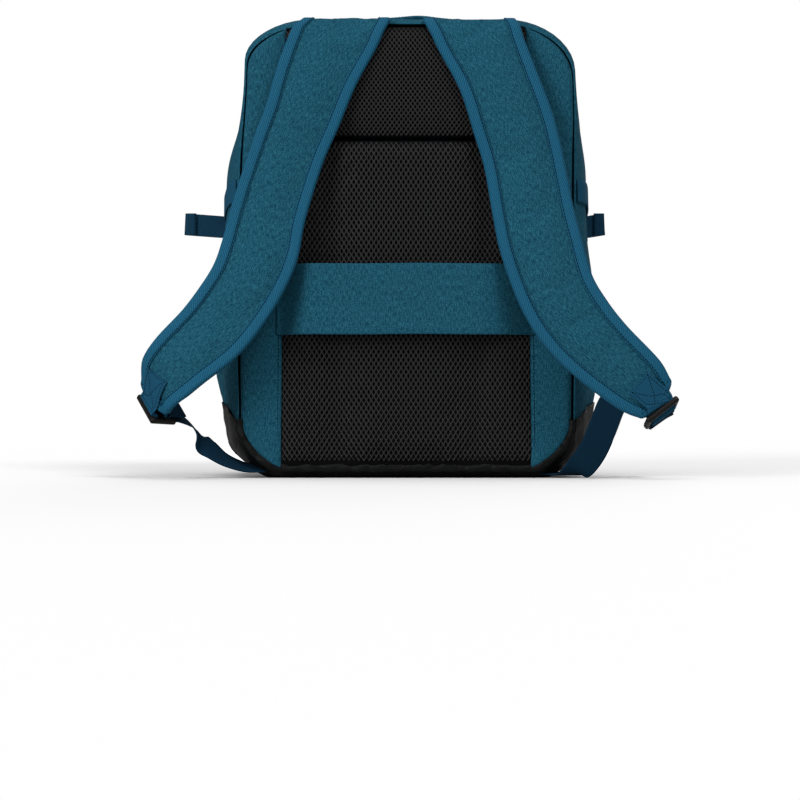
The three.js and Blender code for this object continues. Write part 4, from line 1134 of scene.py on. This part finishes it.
def binding(name, strap):
    """The folded tape along a strap's edge, and the path of its stitches on the front."""
    edges, outs, faces_at, wides, pressed = [], [], [], [], []
    for sign, order in ((-1, slice(None)), (1, slice(None, None, -1))):
        if sign == 1:
            turn = np.linspace(-np.pi / 2, np.pi / 2, 17)[1:-1]
            reach = TIP_LENGTH + 1.6
            half = strap["width"][-1] / 2
            ahead, aside = np.cos(turn)[:, None], np.sin(turn)[:, None]
            edges.append(strap["at"][-1] + reach * ahead * strap["run"][-1]
                         + half * aside * strap["across"][-1])
            outs.append(unit(ahead / reach * strap["run"][-1] + aside / half * strap["across"][-1]))
            faces_at.append(np.repeat(strap["face"][-1:], len(turn), axis=0))
            wides.append(np.full(len(turn), 0.22 * strap["width"][-1]))
            pressed.append(np.ones(len(turn)))
        edges.append((strap["at"] + sign * strap["across"] * strap["width"][:, None] / 2)[order])
        outs.append((sign * strap["across"])[order])
        faces_at.append(strap["face"][order])
        wides.append(np.minimum(BINDING_WIDE - 0.3, 0.22 * strap["width"])[order])
        pressed.append(strap["press"][order])
    edges, outs, faces_at, wides, pressed = map(np.concatenate, (edges, outs, faces_at, wides, pressed))
    inner = PAD_EDGE / 2 + BINDING_SLACK
    outer = inner + BINDING_THICK
    turn = np.linspace(np.pi / 2, -np.pi / 2, 9)
    fold_u, fold_v = -outer * 0.75 + outer * 0.75 * np.cos(turn), outer * np.sin(turn)
    back_u, back_v = (fold_u - BINDING_THICK)[::-1], (fold_v * inner / outer)[::-1]
    rings = []
    for edge, out, face, wide, press in zip(edges, outs, faces_at, wides, pressed):
        u = np.concatenate([[-wide, -0.98 * wide, -0.6 * wide], fold_u,
                            [-0.6 * wide, -0.98 * wide, -wide, -wide, -0.6 * wide], back_u,
                            [-0.6 * wide, -wide]])
        v = np.concatenate([[outer - 0.5, outer - 0.12, outer], fold_v,
                            [-outer, 0.12 - outer, 0.5 - outer, -inner, -inner], back_v, [inner, inner]])
        rings.append(edge + u[:, None] * out + press * v[:, None] * face)
    mesh = capped(name, rings)
    lay_cloth(mesh, np.tile(walked(rings[0]), len(rings)), np.repeat(walked(edges), len(rings[0])))
    # The row lies close inside the tape's edge, so its dark thread paints the edge's shadow line.
    row = edges - outs * (wides - EDGE_STITCH)[:, None] + faces_at * (pressed * (outer + 0.1))[:, None]
    return mesh, row, faces_at


straps = {}
for side in ("left", "right"):
    straps[side] = strap_frame(side)
    longer = with_tip(straps[side])
    mesh, held = strap_pad(f"shoulder_pad_{side}", longer)
    pad = show(f"strap_cover_{side}", mesh, teal, "teal_cloth", f"shoulder_pad_{side}")
    inflate(pad, held, pressure=3.0, cap=2.5, slack=0.012)
    mesh, row, faced = binding(f"shoulder_binding_{side}", straps[side])
    show(f"strap_binding_{side}", mesh, twill, "binding_twill", f"shoulder_binding_{side}")
    # Near-black stitches along the tape's edge: real stitches, and painted shade for the edge's shadow line.
    sew(f"binding_stitches_{side}", [(row, faced)], edge_shade_thread, size=SHADE_LINE_STITCH)

# Strap-end webbing and its adjuster: 25 mm polyester webbing sewn on the strap in a crossed box, looped
# round the middle bar of a moulded black ladder lock, and brought back under the strap.
STRAP_WEB, WEB = 25.0, 1.5
GAP = 0.3
LOCK = {"wide": 34.0, "bar": 4.4, "slot": 6.1, "thick": 5.4}
LOCK_PLACE = {  # run of the plate, how far ahead of the strap's end, how far out, turn in the view, shift
    "left": ((0.86, 0.46, -0.2), 12.5, 3.6, 10, (-1.3, 0, 0)),
    "right": ((0.2, 0.97, -0.1), 13.8, 5.2, 14, (-4.8, 0, -1)),
}
PATCH_ROWS = (-8, -6, -3, 0, 2)  # fine sections from the strap's end where the patch lies on it
UNDER_ROWS = (1, 0, -4)  # and where its end goes back under the strap
PATCH_SLANT = {"left": 0.55, "right": 0.0}  # how far it leans outwards for each section up from that end
PATCH_PITCH, PATCH_STITCH = 2.6, (0.7, 0.5, 2.0)
PATCH_SEWN = 2.5  # how far inside the webbing's edge
WEB_RIBS = {"pitch": 0.0016, "turn": 0, "axis": "Y", "wobble": 0.4, "fleck": 0.0014, "bump": 0.25,
            "roughness": 0.85, "specular": 0.06}
webbing = ribbed_material("polyester_webbing_blue", "#133F56", "#1A4D68", WEB_RIBS)
# The navy copy is the blue webbing darkened as painted shade, for the lower webbing's run down into the shade
# at the base.
webbing_painted_shade_low = ribbed_material("polyester_webbing_painted_shade_low", "#0B2435", "#0F2F44", WEB_RIBS)
# The dusk copy is the blue webbing darkened as painted shade, for the side straps' front runs and free ends,
# whose shafts lie in shade close to the bag.
webbing_painted_shade_dim = ribbed_material("polyester_webbing_painted_shade_dim", "#112F41", "#173D55", WEB_RIBS)
acetal = satin_plastic("acetal_black", "#0D0B0A", 0.42, 0.0012, 0.18)


def lock_frame(side, strap):
    """Where an adjuster's first bar lies, and its width, run and face directions."""
    run, ahead, out, turn, shift = LOCK_PLACE[side]
    tilt = math.radians(turn)
    x, y, z = strap["across"][-1]
    wide = np.array([x * math.cos(tilt) + z * math.sin(tilt), y, z * math.cos(tilt) - x * math.sin(tilt)])
    along = np.array(run)
    along = unit(along - along.dot(wide) * wide)
    face = np.cross(wide, along)
    if face.dot(strap["run"][-1]) < 0:
        face = -face
    at = strap["at"][-1] + ahead * strap["run"][-1] + out * strap["face"][-1] + np.array(shift)
    return {"at": at, "wide": wide, "along": along, "face": face}


def round_corner(middle, size, along, out):
    """Webbing turning round one corner of a bar, from over its face to beside it."""
    side = size["bar"] / 2 + GAP + WEB / 2 + 0.05
    over = size["thick"] / 2 + GAP + WEB / 2 + 0.15
    turns = ((side - 1.7, over), (side - 0.5, over - 0.35), (side, over - 1.5))
    return [(middle + along * u, out * v) for u, v in turns]


def at_lock(lock, pairs):
    """Points given along an adjuster and out of its face."""
    return [lock["at"] + u * lock["along"] + v * lock["face"] for u, v in pairs]


def lock_mesh(name, size, lock):
    """A ladder lock with three bars and two slots, its edges rounded by the mould."""
    half, bar, slot = size["wide"] / 2, size["bar"], size["slot"]
    levels = [-bar / 2, bar / 2, bar / 2 + slot, bar * 1.5 + slot, bar * 1.5 + 2 * slot, bar * 2.5 + 2 * slot]
    inside = half - bar + 0.2
    mesh = slotted_plate(name, (-half, -inside, inside, half), levels, ((1, 1), (1, 3)), size["thick"],
                         1.0 + 0.2 * bar)
    stand(mesh, lock["at"], np.cross(lock["along"], lock["face"]), lock["along"])
    return mesh


def on_strap(tip, row, sign, aside):
    """A place on the front or under side of a strap's section, moved aside along its width."""
    bound = PAD_EDGE + 2 * (BINDING_SLACK + BINDING_THICK)
    lift = max(tip["thick"][row], bound) / 2 + 2 * GAP + WEB / 2 + 0.1
    return tip["at"][row] + sign * lift * tip["face"][row] + aside * tip["across"][row]


locks = {}
for side in ("left", "right"):
    strap = straps[side]
    lock = lock_frame(side, strap)
    locks[side] = lock
    tip = with_tip(strap)
    end_row = len(strap["at"]) - 1
    slant = PATCH_SLANT[side]
    clear = LOCK["thick"] / 2 + GAP + WEB / 2
    second = LOCK["bar"] + LOCK["slot"]
    bars = [(-1.5, -clear), (3, -clear), (5.2, -2.2), *round_corner(second, LOCK, -1, 1)[::-1],
            *round_corner(second, LOCK, 1, 1), (second + 3.1, -3), (second + 2, -5.2), (second - 1, -6.5)]
    places = [on_strap(tip, end_row + k, 1, slant * max(-k, 0)) for k in PATCH_ROWS] + at_lock(lock, bars)
    places += [on_strap(tip, end_row + k, -1, slant * max(-k, 0)) for k in UNDER_ROWS]
    across = [tip["across"][end_row + k] for k in PATCH_ROWS] + [lock["wide"]] * len(bars)
    across += [tip["across"][end_row + k] for k in UNDER_ROWS]
    mesh, line, wide, face = ribbon(f"strap_patch_{side}", places, across, STRAP_WEB, WEB)
    show(f"patch_webbing_{side}", mesh, webbing, "webbing", f"strap_patch_{side}")
    plate = lock_mesh(f"ladder_lock_{side}", LOCK, lock)
    show(f"adjuster_{side}", plate, acetal, "buckle_plastic", f"ladder_lock_{side}")
    sewn = slice(1, 19)
    out = face[sewn] * np.sign((face[sewn] * strap["face"][-1]).sum(1))[:, None]
    middle = line[sewn] + out * (WEB / 2 + 0.05)
    w = wide[sewn]
    reach = STRAP_WEB / 2 - PATCH_SEWN
    diagonal = np.linspace(-reach, reach, len(middle))[:, None]
    cross = np.linspace(-reach, reach, 9)[:, None]
    paths = [(middle + w * d, out) for d in (-reach, reach)]
    paths += [(middle + w * diagonal, out), (middle - w * diagonal, out)]
    paths += [(middle[k] + w[k] * cross, np.tile(out[k], (9, 1))) for k in (0, -1)]
    sew(f"patch_stitches_{side}", paths, teal_thread, PATCH_PITCH, PATCH_STITCH)

# Lower webbing: the same webbing, darkened to navy as painted shade for its run down to the base, hooked
# round the last bar of each adjuster and led down to the bottom corner of the bag, where it is sewn into the
# seam of the base.
ANCHOR_ROWS = {  # x, y, z of the middle line and the direction of the width
    "left": [(-189, -100, 48.5, -0.25, 0.93, 0.22), (-182, -98.5, 40.5, -0.12, 0.97, 0.12),
             (-177.8, -97.3, 31, 0, 0.72, 0.69), (-169.5, -95.5, 24.5, 0.1, 0.82, 0.56),
             (-160, -93.5, 17.4, 0.15, 0.92, 0.35), (-150, -90.5, 12.6, 0.2, 0.95, 0.22),
             (-140, -86, 9.6, 0.2, 0.95, 0.18), (-128, -79, 8.4, 0.2, 0.95, 0.15)],
    "right": [(222, -103, 60, 0.5, 0, 0.87), (207, -99, 72, 0.35, -0.1, 0.93),
              (194, -100, 78, 0.6, -0.2, 0.75), (180, -101, 66, 0.88, -0.15, 0.3),
              (171, -99, 44, 0.92, 0, -0.25),
              (163, -96, 25, 0.9, 0.1, -0.42), (154.5, -95.5, 12.8, 0.9, 0.12, -0.42),
              (147.5, -93, 6.4, 0.93, 0.3, -0.2), (142, -86, 3.5, 0.8, 0.6, -0.05),
              (134, -78, 3.3, 0.68, 0.73, 0.02), (121, -69, 3.5, 0.6, 0.8, 0.02)],
}
for side in ("left", "right"):
    lock = locks[side]
    third = 2 * (LOCK["bar"] + LOCK["slot"])
    hook = [(third + 12, -4.4), (third + 2, -4), *round_corner(third, LOCK, -1, -1),
            *round_corner(third, LOCK, -1, 1)[::-1], (third + 2, 3.7), (third + 8, 2.5)]
    rows = np.array(ANCHOR_ROWS[side], float)
    places = at_lock(lock, hook) + list(rows[:, :3])
    across = [lock["wide"]] * len(hook) + list(unit(rows[:, 3:]))
    mesh, *_ = ribbon(f"anchor_webbing_{side}", places, across, STRAP_WEB, WEB, 6)
    # In the darker navy copy of the webbing: painted shade.
    show(f"lower_webbing_{side}", mesh, webbing_painted_shade_low, "webbing", f"anchor_webbing_{side}")

# Side straps: 20 mm webbing from the back seam to a small ladder lock on each side, and from the front seam
# through that lock to a free end with a folded hem. The locks are hidden in the photo and kept plain.
SIDE_WEB = 20.0
SIDE_LOCK = {"wide": 28.0, "bar": 3.5, "slot": 6.0, "thick": 4.0}
SIDE_REAR = {  # y, z and how far off the bag's side
    "left": ((-91, 250, 1.2), (-84, 249.5, 2.2), (-74, 247.5, 1.6), (-58, 243, 1.4), (-36, 238, 1.4),
             (-20, 234.5, 3)),
    "right": ((-91, 250.5, 1.2), (-84, 250.5, 2.2), (-74, 250, 1.6), (-60, 249, 1.4), (-42, 244, 1.4),
              (-20, 234.5, 3)),
}
SIDE_FRONT = ((80, 216, 1.3), (70, 217.5, 1.3), (60, 219, 1.4), (50, 220.5, 1.3), (40, 222, 1.3),
              (24, 224.5, 1.6))
OUTSIDE = 400.0  # well clear of the bag
SIDE_LOCK_AT = (-8, 227.8, 4.3)  # y, z and how far off the bag's side
SIDE_SLOPE = -0.2
TAIL = {"left": 37.5, "right": 17.0}  # how far each free end stands out
TAIL_HEM, TAIL_RISE = 9.0, 2.8
TAIL_PITCH, TAIL_STITCH = 2.4, (0.7, 0.5, 1.8)


def on_side(sign, y, z, stand_off):
    """A place off the bag's side, and the direction up that side."""
    levels = (z - SIDE_WEB / 2, z, z + SIDE_WEB / 2)
    low, at, high = (cast((sign * OUTSIDE, y, level), (-sign, 0, 0))[0][0] for level in levels)
    return np.array([at + sign * stand_off, y, z]), unit(np.array([high - low, 0, SIDE_WEB]))


def up_side(sign, rows):
    """The places of some rows off the bag's side, and the direction up the side at each."""
    places, across = zip(*(on_side(sign, *row) for row in rows))
    return list(places), list(across)


for side, sign in (("left", -1), ("right", 1)):
    at, _ = on_side(sign, *SIDE_LOCK_AT)
    lock = {"at": at, "wide": unit(np.array([0, -SIDE_SLOPE, 1])),
            "along": unit(np.array([0, 1, SIDE_SLOPE])), "face": np.array([sign, 0.0, 0.0])}
    plate = lock_mesh(f"side_lock_{side}", SIDE_LOCK, lock)
    show(f"side_adjuster_{side}", plate, acetal, "buckle_plastic", f"side_lock_{side}")
    hook = [(-1.8, -3.3), *round_corner(0, SIDE_LOCK, 1, -1), *round_corner(0, SIDE_LOCK, 1, 1)[::-1],
            (-2, 3.3), (-9, 2.6)]
    places, across = up_side(sign, SIDE_REAR[side])
    places += at_lock(lock, hook)
    across += [lock["wide"]] * len(hook)
    mesh, *_ = ribbon(f"side_strap_{side}", places, across, SIDE_WEB, WEB)
    show(f"side_webbing_{side}", mesh, webbing, "webbing", f"side_strap_{side}")
    clear = SIDE_LOCK["thick"] / 2 + GAP + WEB / 2
    slot_middle = 1.5 * (SIDE_LOCK["bar"] + SIDE_LOCK["slot"]) + 0.6
    rise = [(slot_middle + u, v) for u, v in ((5, -clear - 1), (1, -clear + 0.8), (0, 1.5), (0, 3))]
    places, across = up_side(sign, SIDE_FRONT)
    places += at_lock(lock, rise)
    across += [lock["wide"]] * len(rise)
    leaves = places[-1]
    for share in (0.25, 0.6, 1.0):
        places.append(leaves + np.array([sign * TAIL[side] * share, 0, TAIL_RISE * share]))
        across.append(np.array([0.0, 0.0, 1.0]))
    tip = places[-1]
    turns = ((0, -0.9, 0), (-sign * 0.9, -1.75, 0), (-sign * TAIL_HEM, -1.75, 0))
    fold = [tip + np.array(turn) for turn in turns]
    mesh, *_ = ribbon(f"side_tail_{side}", places + fold, across + [across[-1]] * 3, SIDE_WEB, WEB)
    # The front run and free end are in the darker copy of the webbing: painted shade.
    show(f"side_end_{side}", mesh, webbing_painted_shade_dim, "webbing", f"side_tail_{side}")
    hem_x = tip[0] - sign * (TAIL_HEM - 1.5)
    hem_row = np.column_stack([np.full(9, hem_x), np.full(9, tip[1] - 2.55), np.linspace(-8, 8, 9) + tip[2]])
    hem = [(hem_row, np.tile((0.0, -1.0, 0.0), (9, 1)))]
    sew(f"tail_stitches_{side}", hem, teal_thread, TAIL_PITCH, TAIL_STITCH)
